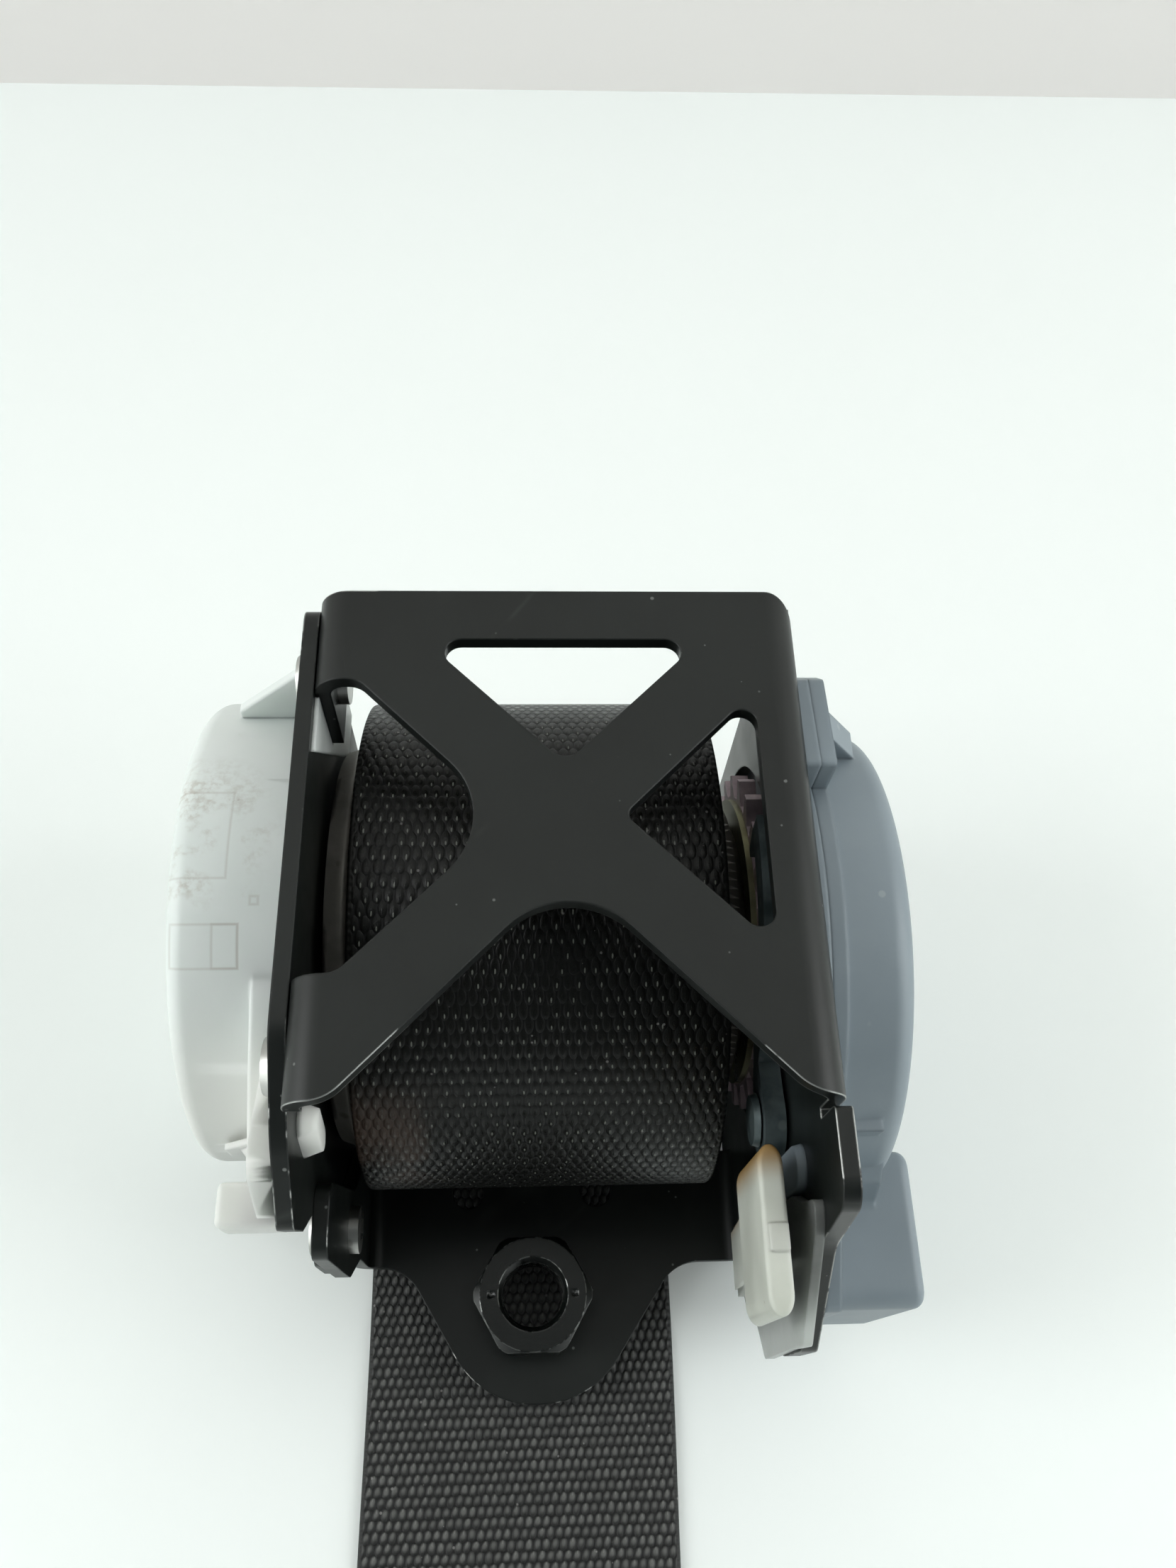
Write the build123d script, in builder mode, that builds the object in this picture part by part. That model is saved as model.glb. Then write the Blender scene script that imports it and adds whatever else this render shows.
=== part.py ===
import os
from math import cos, radians, sin, sqrt

from build123d import *

os.makedirs("parts", exist_ok=True)

# Seat belt retractor with its webbing. Millimetres. X runs along the spool, -Y is the side where
# the webbing leaves, +Z is up. The origin is under the middle of the retractor, on the surface
# that it stands on. Every outline below is drawn about the spool axis.

# Webbing and spool
webbing_width = 47.0
webbing_thickness = 1.2
roll_radius = 35.8
barrel_radius = 17.0
collar_radius = 20.2
collar_width = 2.6
flange_radius = 33.0
flange_inner_radius = 26.0
flange_edge = 1.2
webbing_play = 0.5
left_flange_thickness = 3.3
spool_neck = 4.4
floor_clearance = 1.5
running_gap = 0.05
seat_gap = 0.3

# Steel frame: one bent sheet, with a flat plate riveted to its open left side
sheet = 2.0
bend_outer = 4.0
plate_height = 45.0
plate_rear = 31.3
plate_front = -33.3
left_room = 4.0
right_room = 7.1
tab_depth = 16.5
strut_cross_x = 3.1
strut_cross_y = -0.4
strut_reach = 6.8
window_rim = 7.3
side_rim = 6.4
front_tab_width = 13.9
rear_tab_width = 13.1
wall_rear_round = 12.0
wall_notch = 8.0
left_plate_height = 42.3
ear_drop = 30.5
ear_front = -61.6
ear_rear = -25.3
ear_line = -42.0
flange_top = 15.5
rivet_radius = 2.5
rivet_head = 1.3
nut_x = -0.9
nut_y = -46.9
nut_flats = 16.0
nut_height = 8.0
nut_chamfer = 1.1
nut_dimple = 0.5
nut_dimple_reach = 6.3
thread_radius = 4.4
thread_chamfer = 0.8
ear_hole_radius = 5.5
ear_notch_left = -11.0
ear_notch_right = 9.2
ear_notch_width = 4.8
ear_notch_depth = 8.2

# Shafts and bearings
journal_radius = 5.0
shaft_radius = 7.0
bore_radius = 8.0
bush_wall = 3.0
bush_flange = 0.5
torsion_radius = 5.0

# Ratchet and locking pawl: the wheel turns in a round opening of the right wall
disc_radius = 21.0
disc_thickness = 0.8
wheel_thickness = 2.4
wheel_teeth = 24
tooth_tip = 24.6
tooth_root = 21.5
tooth_phase = 84.0
wheel_opening = 26.0
pawl_thickness = 2.7
pawl_depth = 3.9
pawl_clearance = 0.7
pawl_wall_gap = 0.4
pawl_pivot_y = -30.0
pawl_pivot_z = 15.5
pawl_swing = 7.0
pin_radius = 2.0
pin_head = 0.8

# Spring side
spring_plate_thickness = 1.6
spring_cover_radius = 33.0
spring_cover_depth = 14.4
spring_cover_y = 2.4
spring_cover_z = 0.6
shell_wall = 1.8
mainspring_width = 9.0
mainspring_strip = 0.6
mainspring_pitch = 2.4
mainspring_turns = 8
arbor_radius = 6.5

# Locking mechanism side
base_thickness = 2.0
cover_radius = 33.0
cover_y = -4.0
cover_z = 3.0
cover_depth = 13.0
box_depth = 16.9
box_front = -52.0
box_rear = -32.0
box_top = 5.0
box_bottom = -27.5
steering_radius = 25.0
steering_root = 23.4
steering_teeth = 36
steering_thickness = 2.8
inertia_radius = 18.0
inertia_thickness = 2.0

# Vehicle sensor
ball_radius = 4.5
ball_y = -43.0
ball_z = -15.3
dish_radius = 8.5
lever_pivot_y = -37.0
lever_pivot_z = -11.0
lever_pin_radius = 0.9
sensor_offset = 10.9
housing_gap = 1.3
housing_thickness = 4.7

# Webbing past the retractor, and what is on it
tail_shift = -3.0
tail_wrap = 35.0
hank_rear = -108.0
hank_length = 100.0
hank_layers = 5
hank_pitch = 1.6
tongue_thickness = 2.5
end_plate_thickness = 3.0

# Sizes worked out from those above
front_reach = -ear_front
spool_z = roll_radius + floor_clearance
spool_half_length = webbing_width / 2 + webbing_play
spool_end = spool_half_length + spool_neck
left_inner = -spool_half_length - left_room
right_inner = spool_half_length + right_room
left_outer = left_inner - sheet
right_outer = right_inner + sheet
spring_plate_face = left_outer - spring_plate_thickness
spring_face = spring_plate_face - spring_cover_depth
base_face = right_outer + base_thickness
cover_face = right_outer + cover_depth
box_face = right_outer + box_depth
sensor_x = right_inner + sensor_offset
housing_right = right_inner - housing_gap
housing_left = housing_right - housing_thickness
floor_z = -spool_z
ear_top = -ear_drop
ear_mid = ear_top - sheet / 2
plate_mid = plate_height - sheet / 2
bend_mid = bend_outer - sheet / 2
disc_left = spool_end
wheel_left = disc_left + disc_thickness
wheel_right = wheel_left + wheel_thickness
spool_flange_face = -spool_half_length - left_flange_thickness
spool_x = -(spring_face + box_face) / 2
spool_y = (front_reach - roll_radius) / 2


def side_plane(x):
    # Looks along X, so its two directions are Y and Z about the spool axis.
    return Plane(origin=(spool_x + x, spool_y, spool_z), x_dir=(0, 1, 0), z_dir=(1, 0, 0))


def level_plane(z):
    return Plane(origin=(spool_x, spool_y, spool_z + z), x_dir=(1, 0, 0), z_dir=(0, 0, 1))


def front_plane(y):
    # Its two directions are X and Z, and it extrudes towards -Y.
    return Plane(origin=(spool_x, spool_y + y, spool_z), x_dir=(1, 0, 0), z_dir=(0, -1, 0))


def tilted_side_plane(x, y, z, angle):
    # A side plane about the point (y, z), turned about X.
    a = radians(angle)
    centre = (spool_x + x, spool_y + y, spool_z + z)
    return Plane(origin=centre, x_dir=(0, cos(a), sin(a)), z_dir=(1, 0, 0))


def rounded(*corners):
    # A closed outline from corners that each give two coordinates and a corner radius.
    points = [(a, b) for a, b, r in corners]
    return FilletPolyline(*points, radius=[r for a, b, r in corners], close=True)


def polar(radius, angle):
    return (radius * cos(radians(angle)), radius * sin(radians(angle)))


past = 10.0
spool_axis = Axis((0, spool_y, spool_z), (1, 0, 0))

# Outline of the top plate in X and Y: four struts cross at 45 degrees
strut_left = strut_cross_x - strut_reach
strut_right = strut_cross_x + strut_reach
strut_front = strut_cross_y - strut_reach
strut_rear = strut_cross_y + strut_reach
front_tab_rear = plate_front + front_tab_width
rear_tab_front = plate_rear - rear_tab_width
window_rear = plate_rear - window_rim
window_right = right_outer - side_rim
front_notch = strut_front - plate_front
window_half = window_rear - strut_rear
side_half = window_right - strut_right
plate_outline = (
    (left_inner - past, plate_rear, 0),
    (right_outer + 0.1, plate_rear, bend_outer),
    (right_outer + 0.1, plate_front, 0),
    (strut_cross_x + front_notch, plate_front, 6),
    (strut_cross_x, strut_front, 10),
    (strut_cross_x - front_notch, plate_front, 5),
    (left_inner - past, plate_front, 0),
    (left_inner - past, front_tab_rear, 0),
    (strut_left - (strut_cross_y - front_tab_rear), front_tab_rear, 3),
    (strut_left, strut_cross_y, 10),
    (strut_left - (rear_tab_front - strut_cross_y), rear_tab_front, 3),
    (left_inner - past, rear_tab_front, 0),
)
rear_window = (
    (strut_cross_x - window_half, window_rear, 2.0),
    (strut_cross_x + window_half, window_rear, 2.0),
    (strut_cross_x, strut_rear, 2.4),
)
right_window = (
    (window_right, strut_cross_y + side_half, 1.9),
    (strut_right, strut_cross_y, 1.3),
    (window_right, strut_cross_y - side_half, 1.9),
)

# The three rivets, in Y and Z
rivets = ((24.0, 35.0), (-27.0, 35.0), (-39.5, -6.0))

# Openings that several pieces share, in Y and Z
clip_y = -32.6
clip_z = 27.0
clip_angle = 75
clip_length = 4.0
clip_width = 3.2
neck_front = -48.0
neck_rear = -38.0
neck_bottom = -23.0
neck_top = -15.0
neck_play = 1.0
neck_y = (neck_front + neck_rear) / 2
neck_z = (neck_bottom + neck_top) / 2
neck_length = neck_rear - neck_front
neck_height = neck_top - neck_bottom
peg_y = -37.6
peg_z = 21.5
peg_length = 7.0
peg_width = 4.2
cover_feet = ((27.5, -26.0), (-21.5, -30.0))
foot_radius = 1.9
foot_play = 0.2

# Frame
wall_outline = (
    (plate_rear, plate_height - bend_outer, 0),
    (plate_front, plate_height - bend_outer, 0),
    (plate_front, plate_height - wall_notch, 0),
    (plate_front - 1.1, plate_height - wall_notch, 0),
    (plate_front - 1.1, plate_height - 1, 0.8),
    (plate_front - 11.3, plate_height - 1, 3.2),
    (plate_front - 13.7, 29.5, 8),
    (plate_front - 23.9, 13.5, 3),
    (plate_front - 23.9, 2.0, 4),
    (-50.0, -24.5, 4),
    (-44.0, ear_mid + bend_mid, 0),
    (ear_rear, ear_mid + bend_mid, 0),
    (ear_rear, floor_z, 1),
    (plate_rear, floor_z, wall_rear_round),
)
ear_outline = (
    (left_inner - past, ear_line, 0),
    (-20.6, ear_line, 7),
    (-8.5, ear_front, 14.3),
    (7.8, ear_front, 14.3),
    (21.4, ear_line, 7),
    (right_outer + past, ear_line, 0),
    (right_outer + past, ear_rear, 0),
    (left_inner - past, ear_rear, 0),
)
flange_outline = (
    (ear_rear, ear_mid - 5, 0),
    (ear_rear, -22.0, 4),
    (-34.0, -8.0, 5),
    (-36.6, flange_top, 2.5),
    (-45.5, flange_top, 2.5),
    (-45.5, -8.0, 5),
    (ear_line, -18.0, 4),
    (ear_line, ear_mid - 5, 0),
)
tab_middle = left_inner + sheet / 2
wall_middle = right_inner + sheet / 2
block = 160.0
with BuildPart() as frame:
    with BuildSketch(front_plane(plate_rear)):
        with BuildLine():
            FilletPolyline(
                (tab_middle, plate_height - tab_depth),
                (tab_middle, plate_mid),
                (wall_middle, plate_mid),
                (wall_middle, plate_mid - past),
                radius=bend_mid,
            )
        trace(line_width=sheet)
    extrude(amount=plate_rear - plate_front)
    with BuildSketch(level_plane(plate_height - tab_depth - 1)):
        Rectangle(block, block)
        with BuildLine():
            rounded(*plate_outline)
        make_face(mode=Mode.SUBTRACT)
        with BuildLine():
            rounded(*rear_window)
        make_face()
        with BuildLine():
            rounded(*right_window)
        make_face()
    extrude(amount=tab_depth + 2, mode=Mode.SUBTRACT)
    with BuildSketch(front_plane(ear_rear)):
        with BuildLine():
            FilletPolyline(
                (tab_middle, flange_top),
                (tab_middle, ear_mid),
                (wall_middle, ear_mid),
                (wall_middle, ear_mid + bend_mid + 0.1),
                radius=bend_mid,
            )
        trace(line_width=sheet)
    extrude(amount=ear_rear - ear_front)
    with BuildSketch(level_plane(ear_mid - 2)):
        with Locations((0, ear_line - block / 2 + 6)):
            Rectangle(block, block)
        with BuildLine():
            rounded(*ear_outline)
        make_face(mode=Mode.SUBTRACT)
        with Locations((ear_notch_left, ear_rear), (ear_notch_right, ear_rear)):
            SlotOverall(2 * ear_notch_depth, ear_notch_width, rotation=90)
        with Locations((nut_x, nut_y)):
            Circle(ear_hole_radius)
    extrude(amount=2.5 + bend_mid, mode=Mode.SUBTRACT)
    with BuildSketch(side_plane(left_inner - 1)):
        with Locations((ear_line, 0)):
            Rectangle(2 * (ear_rear - ear_line) + 6, 80)
        with BuildLine():
            rounded(*flange_outline)
        make_face(mode=Mode.SUBTRACT)
        with Locations(*rivets):
            Circle(rivet_radius + running_gap)
    extrude(amount=sheet + 2, mode=Mode.SUBTRACT)
    with BuildSketch(side_plane(right_inner)):
        with BuildLine():
            rounded(*wall_outline)
        make_face()
    extrude(amount=sheet)
    with BuildSketch(side_plane(right_inner)):
        Circle(wheel_opening)
        with Locations((pawl_pivot_y, pawl_pivot_z)):
            Circle(pin_radius)
        with Locations((neck_y, neck_z)):
            Rectangle(neck_length + neck_play, neck_height + neck_play)
        with Locations((peg_y, peg_z)):
            SlotCenterToCenter(peg_length, peg_width + 0.2, rotation=90)
    extrude(amount=sheet, mode=Mode.SUBTRACT)
frame.part.label = "frame"
export_step(frame.part, "parts/frame.step")

# Left side plate, flat against the tabs and the small flange
left_outline = (
    (plate_rear, left_plate_height, 3),
    (-25.0, left_plate_height, 6),
    (-35.6, 36.2, 14),
    (-43.9, 27.8, 2),
    (-43.2, 21.5, 2),
    (-36.2, 6.0, 2.5),
    (-44.6, -1.0, 3),
    (-44.6, -13.0, 6),
    (-33.0, -27.0, 6),
    (-30.0, floor_z, 2),
    (plate_rear, floor_z, wall_rear_round),
)
with BuildPart() as left_side_plate:
    with BuildSketch(side_plane(left_outer)):
        with BuildLine():
            rounded(*left_outline)
        make_face()
        Circle(journal_radius + bush_wall, mode=Mode.SUBTRACT)
        with Locations(*rivets):
            Circle(rivet_radius + running_gap, mode=Mode.SUBTRACT)
        with Locations((clip_y, clip_z)):
            SlotCenterToCenter(clip_length, clip_width, rotation=clip_angle, mode=Mode.SUBTRACT)
        with Locations(*cover_feet):
            Circle(foot_radius + foot_play, mode=Mode.SUBTRACT)
    extrude(amount=sheet)
left_side_plate.part.label = "left_side_plate"
export_step(left_side_plate.part, "parts/left_side_plate.step")

# Rivets: a domed head outside the left plate, a formed tail inside the tab
rivet_grip = 2 * sheet
with BuildPart() as side_plate_rivets:
    with BuildSketch(side_plane(left_outer)):
        with Locations(*rivets):
            Circle(rivet_radius)
    extrude(amount=rivet_grip)
    with BuildSketch(side_plane(left_outer)):
        with Locations(*rivets):
            Circle(1.6 * rivet_radius)
    extrude(amount=-rivet_head, taper=30)
    with BuildSketch(side_plane(left_outer + rivet_grip)):
        with Locations(*rivets):
            Circle(1.25 * rivet_radius)
    extrude(amount=rivet_head)
side_plate_rivets.part.label = "side_plate_rivets"
export_step(side_plate_rivets.part, "parts/side_plate_rivets.step")

# Anchor nut, welded on the ear, with a chamfered rim and two small weld dimples
nut_corner = nut_flats / sqrt(3)
with BuildPart() as anchor_nut:
    with BuildSketch(level_plane(ear_top)):
        with Locations((nut_x, nut_y)):
            RegularPolygon(nut_flats / 2, 6, major_radius=False)
    extrude(amount=nut_height)
    with BuildSketch(front_plane(nut_y)):
        with BuildLine():
            Polyline(
                (nut_x, ear_top),
                (nut_x + nut_corner, ear_top),
                (nut_x + nut_corner, ear_top + nut_height - nut_chamfer),
                (nut_x + nut_flats / 2 + 0.3, ear_top + nut_height),
                (nut_x, ear_top + nut_height),
                close=True,
            )
        make_face()
    nut_axis = Axis((spool_x + nut_x, spool_y + nut_y, spool_z), (0, 0, 1))
    revolve(axis=nut_axis, mode=Mode.INTERSECT)
    with BuildSketch(level_plane(ear_top)):
        with Locations((nut_x, nut_y)):
            Circle(thread_radius)
    extrude(amount=nut_height, mode=Mode.SUBTRACT)
    nut_rim = anchor_nut.edges().filter_by(GeomType.CIRCLE)
    chamfer(nut_rim.group_by(Axis.Z)[-1].sort_by(SortBy.RADIUS)[0], thread_chamfer)
    with BuildSketch(level_plane(ear_top + nut_height)):
        with Locations((nut_x - nut_dimple_reach, nut_y), (nut_x + nut_dimple_reach, nut_y)):
            Circle(nut_dimple)
    extrude(amount=-nut_dimple, mode=Mode.SUBTRACT)
anchor_nut.part.label = "anchor_nut"
export_step(anchor_nut.part, "parts/anchor_nut.step")

# Spool: hollow barrel with one coned flange and a collar past the webbing, a hexagon socket for the
# arbor on the left and a long bore for the torsion bar
socket_flats = 8.0
socket_depth = 6.0
bar_left = spool_flange_face + socket_depth + 2.0
bar_head = 8.0
pocket_radius = 3.2
with BuildPart() as spool:
    with BuildSketch(front_plane(0)):
        with BuildLine():
            Polyline(
                (spool_flange_face, 0),
                (spool_flange_face, flange_inner_radius),
                (-spool_half_length - flange_edge, flange_radius),
                (-spool_half_length, flange_radius),
                (-spool_half_length, barrel_radius),
                (spool_half_length + webbing_play, barrel_radius),
                (spool_half_length + webbing_play, collar_radius),
                (spool_half_length + webbing_play + collar_width, collar_radius),
                (spool_half_length + webbing_play + collar_width, barrel_radius),
                (spool_end, barrel_radius),
                (spool_end, 0),
                close=True,
            )
        make_face()
    revolve(axis=spool_axis)
    with BuildSketch(side_plane(spool_flange_face)):
        RegularPolygon(socket_flats / 2 + running_gap, 6, major_radius=False)
    extrude(amount=socket_depth, mode=Mode.SUBTRACT)
    with BuildSketch(side_plane(bar_left)):
        RegularPolygon(bore_radius, 12, major_radius=False)
    extrude(amount=spool_end - bar_left, mode=Mode.SUBTRACT)
    with BuildSketch(side_plane(spool_flange_face)):
        with PolarLocations(0.76 * flange_inner_radius, 8):
            Circle(pocket_radius)
    extrude(amount=left_flange_thickness - flange_edge, mode=Mode.SUBTRACT)
spool.part.label = "spool"
export_step(spool.part, "parts/spool.step")

with BuildPart() as webbing_roll:
    with BuildSketch(side_plane(-webbing_width / 2)):
        Circle(roll_radius)
        Circle(barrel_radius, mode=Mode.SUBTRACT)
    extrude(amount=webbing_width)
webbing_roll.part.label = "webbing_roll"
export_step(webbing_roll.part, "parts/webbing_roll.step")

# Torsion bar, keyed in the barrel at its left end and in the ratchet wheel at its right end
bar_right = wheel_right - 0.2
key_flats = 12.0
with BuildPart() as torsion_bar:
    with BuildSketch(side_plane(bar_left + 0.1)):
        Circle(torsion_radius)
    extrude(amount=bar_right - bar_left - 0.1)
    with BuildSketch(side_plane(bar_left + 0.1)):
        RegularPolygon(bore_radius - running_gap, 12, major_radius=False)
    extrude(amount=bar_head)
    with BuildSketch(side_plane(disc_left)):
        RegularPolygon(key_flats / 2, 6, major_radius=False)
    extrude(amount=bar_right - disc_left)
torsion_bar.part.label = "torsion_bar"
export_step(torsion_bar.part, "parts/torsion_bar.step")

# Plated disc between the spool's end and the ratchet wheel
with BuildPart() as guide_disc:
    with BuildSketch(side_plane(disc_left)):
        Circle(disc_radius)
        Circle(bore_radius, mode=Mode.SUBTRACT)
        with PolarLocations(0.68 * disc_radius, 6, start_angle=30):
            Circle(pocket_radius, mode=Mode.SUBTRACT)
    extrude(amount=disc_thickness)
guide_disc.part.label = "guide_disc"
export_step(guide_disc.part, "parts/guide_disc.step")

# Ratchet wheel: each tooth has a steep face on the side that meets the pawl. Its shaft turns in the
# right bush and carries the mechanism outside the wall.
bush_inside = right_outer - bush_flange
hub_end = bush_inside - seat_gap
steering_left = base_face + 0.5
steering_right = steering_left + steering_thickness
inertia_left = steering_right + seat_gap
inertia_right = inertia_left + inertia_thickness
shaft_end = inertia_right + 0.8
tooth_land = 0.22
tooth_back = 0.72
wheel_recess = 0.8
wheel_pitch = 360 / wheel_teeth
with BuildPart() as ratchet_wheel:
    with BuildSketch(side_plane(wheel_left)):
        Circle(tooth_root)
        with PolarLocations(0, wheel_teeth, start_angle=tooth_phase):
            Polygon(
                polar(tooth_root - 1, 0),
                polar(tooth_tip, 0),
                polar(tooth_tip, tooth_land * wheel_pitch),
                polar(tooth_root - 1, tooth_back * wheel_pitch),
            )
    extrude(amount=wheel_thickness)
    with BuildSketch(side_plane(wheel_right)):
        Circle(tooth_root - 3)
        Circle(1.8 * shaft_radius, mode=Mode.SUBTRACT)
    extrude(amount=-wheel_recess, mode=Mode.SUBTRACT)
    with BuildSketch(side_plane(wheel_right)):
        Circle(shaft_radius + bush_wall)
    extrude(amount=hub_end - wheel_right)
    with BuildSketch(side_plane(hub_end)):
        Circle(shaft_radius)
    extrude(amount=shaft_end - hub_end)
    with BuildSketch(side_plane(wheel_left)):
        RegularPolygon(key_flats / 2 + running_gap, 6, major_radius=False)
    extrude(amount=wheel_thickness, mode=Mode.SUBTRACT)
ratchet_wheel.part.label = "ratchet_wheel"
export_step(ratchet_wheel.part, "parts/ratchet_wheel.step")

# Spring arbor: its hexagon plugs into the spool, its journal turns in the left bush and its slotted
# hub holds the inner end of the mainspring
arbor_end = spring_face + shell_wall + 0.6
arbor_hub = spring_plate_face - 0.6
spring_left = arbor_hub - 0.7 - mainspring_width
with BuildPart() as spring_arbor:
    with BuildSketch(side_plane(spool_flange_face)):
        RegularPolygon(socket_flats / 2, 6, major_radius=False)
    extrude(amount=socket_depth - 0.2)
    with BuildSketch(side_plane(arbor_hub)):
        Circle(journal_radius)
    extrude(amount=spool_flange_face - arbor_hub)
    with BuildSketch(side_plane(arbor_end)):
        Circle(arbor_radius)
        with Locations((0, arbor_radius)):
            Rectangle(2 * mainspring_strip, arbor_radius, mode=Mode.SUBTRACT)
    extrude(amount=arbor_hub - arbor_end)
spring_arbor.part.label = "spring_arbor"
export_step(spring_arbor.part, "parts/spring_arbor.step")

# Mainspring: a flat strip wound outwards in half turns
spring_start = arbor_radius + mainspring_strip / 2 + 0.3
half_step = mainspring_pitch / 2
with BuildPart() as mainspring:
    with BuildSketch(side_plane(spring_left)):
        with BuildLine():
            for half in range(2 * mainspring_turns):
                middle = half_step * (half % 2)
                reach = spring_start + half * half_step
                CenterArc((middle, 0), reach, 180 * (half % 2), 180)
        trace(line_width=mainspring_strip)
    extrude(amount=mainspring_width)
mainspring.part.label = "mainspring"
export_step(mainspring.part, "parts/mainspring.step")

# Plate that closes the spring case against the left side plate
with BuildPart() as spring_plate:
    with BuildSketch(side_plane(spring_plate_face)):
        with Locations((spring_cover_y, spring_cover_z)):
            Circle(spring_cover_radius - shell_wall - 0.2)
        Circle(journal_radius + bush_wall + 0.2, mode=Mode.SUBTRACT)
    extrude(amount=spring_plate_thickness)
spring_plate.part.label = "spring_plate"
export_step(spring_plate.part, "parts/spring_plate.step")

# Bearing bushes, each with a thin flange: the left one in the side plate, the right one in the
# mechanism base
with BuildPart() as left_bush:
    with BuildSketch(side_plane(left_outer - 1)):
        Circle(journal_radius + bush_wall)
    extrude(amount=sheet + 1)
    with BuildSketch(side_plane(left_inner)):
        Circle(journal_radius + bush_wall + 2)
    extrude(amount=bush_flange)
    with BuildSketch(side_plane(left_outer - 1)):
        Circle(journal_radius + running_gap)
    extrude(amount=sheet + 1 + bush_flange, mode=Mode.SUBTRACT)
left_bush.part.label = "left_bush"
export_step(left_bush.part, "parts/left_bush.step")

with BuildPart() as right_bush:
    with BuildSketch(side_plane(bush_inside)):
        Circle(shaft_radius + bush_wall + 2)
    extrude(amount=bush_flange)
    with BuildSketch(side_plane(right_outer)):
        Circle(shaft_radius + bush_wall)
    extrude(amount=base_thickness)
    with BuildSketch(side_plane(bush_inside)):
        Circle(shaft_radius + running_gap)
    extrude(amount=bush_flange + base_thickness, mode=Mode.SUBTRACT)
right_bush.part.label = "right_bush"
export_step(right_bush.part, "parts/right_bush.step")

# Locking pawl, drawn engaged about its pivot and laid back to its rest angle
pawl_right = right_inner - pawl_wall_gap
pawl_left = pawl_right - pawl_thickness
arm_inner = tooth_tip + pawl_clearance
arm_outer = arm_inner + pawl_depth
tooth_bottom = tooth_root + pawl_clearance
tooth_face = tooth_phase - 1.4
claw_lean = 0.9
claw_rear = tooth_face - 4.2
heel = tooth_face - 6.5
arm_start = 142.0
boss_radius = 2.3 * pin_radius


def about_pivot(radius, angle):
    y, z = polar(radius, angle)
    return (y - pawl_pivot_y, z - pawl_pivot_z)


with BuildPart() as locking_pawl:
    with BuildSketch(tilted_side_plane(pawl_left, pawl_pivot_y, pawl_pivot_z, pawl_swing)):
        Circle(boss_radius)
        with BuildLine():
            outer_start = about_pivot(arm_outer, arm_start)
            outer_end = about_pivot(arm_outer, heel)
            tip_front = about_pivot(tooth_bottom, claw_rear)
            tip_rear = about_pivot(tooth_bottom, tooth_face - claw_lean)
            inner_end = about_pivot(arm_inner, tooth_face)
            inner_start = about_pivot(arm_inner, arm_start)
            middle_angle = (arm_start + tooth_face) / 2
            ThreePointArc(outer_start, about_pivot(arm_outer, middle_angle), outer_end)
            Line(outer_end, about_pivot(arm_inner, heel))
            Line(about_pivot(arm_inner, heel), tip_front)
            Line(tip_front, tip_rear)
            Line(tip_rear, inner_end)
            ThreePointArc(inner_end, about_pivot(arm_inner, middle_angle), inner_start)
            Line(inner_start, (0, -boss_radius))
            Line((0, -boss_radius), (0, boss_radius))
            Line((0, boss_radius), outer_start)
        make_face()
        Circle(pin_radius + running_gap, mode=Mode.SUBTRACT)
    extrude(amount=pawl_thickness)
locking_pawl.part.label = "locking_pawl"
export_step(locking_pawl.part, "parts/locking_pawl.step")

# Pawl pin with a domed head, pressed into the wall
with BuildPart() as pawl_pin:
    with BuildSketch(side_plane(pawl_left - seat_gap)):
        with Locations((pawl_pivot_y, pawl_pivot_z)):
            Circle(1.7 * pin_radius)
    extrude(amount=-pin_head, taper=20)
    with BuildSketch(side_plane(pawl_left - seat_gap)):
        with Locations((pawl_pivot_y, pawl_pivot_z)):
            Circle(pin_radius)
    extrude(amount=base_face - pin_radius / 4 - pawl_left + seat_gap)
pawl_pin.part.label = "pawl_pin"
export_step(pawl_pin.part, "parts/pawl_pin.step")

# Spring cover: a round shell with a web up the side plate, a foot at its front and the snap pins
# that hold it through the side plate
cover_middle = (spring_cover_y, spring_cover_z)
rim_top = spring_cover_z + spring_cover_radius
gusset_y = 15.3
gusset_width = 9.0
gusset_foot = 6.0
gusset_drop = 4.5
gusset_rise = 3.6
foot_depth = 10.0
foot_outline = (
    (-26.0, -1.0, 0),
    (-42.0, -1.0, 3),
    (-44.3, 17.0, 3),
    (-42.5, 21.5, 2),
    (-26.0, 20.0, 0),
)
apron_depth = 3.0
apron_outline = (
    (-22.0, 20.0, 0),
    (-25.5, 29.0, 1),
    (-33.0, 32.0, 1),
    (-38.0, 33.5, 3),
    (-42.0, 24.0, 2),
    (-38.0, 8.0, 2),
    (-28.0, 4.0, 0),
)
boss_depth = 5.0
cap_radius = 24.0
cap_recess = 0.7
hub_cap_radius = 8.0
rib_width = 2.0
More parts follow.
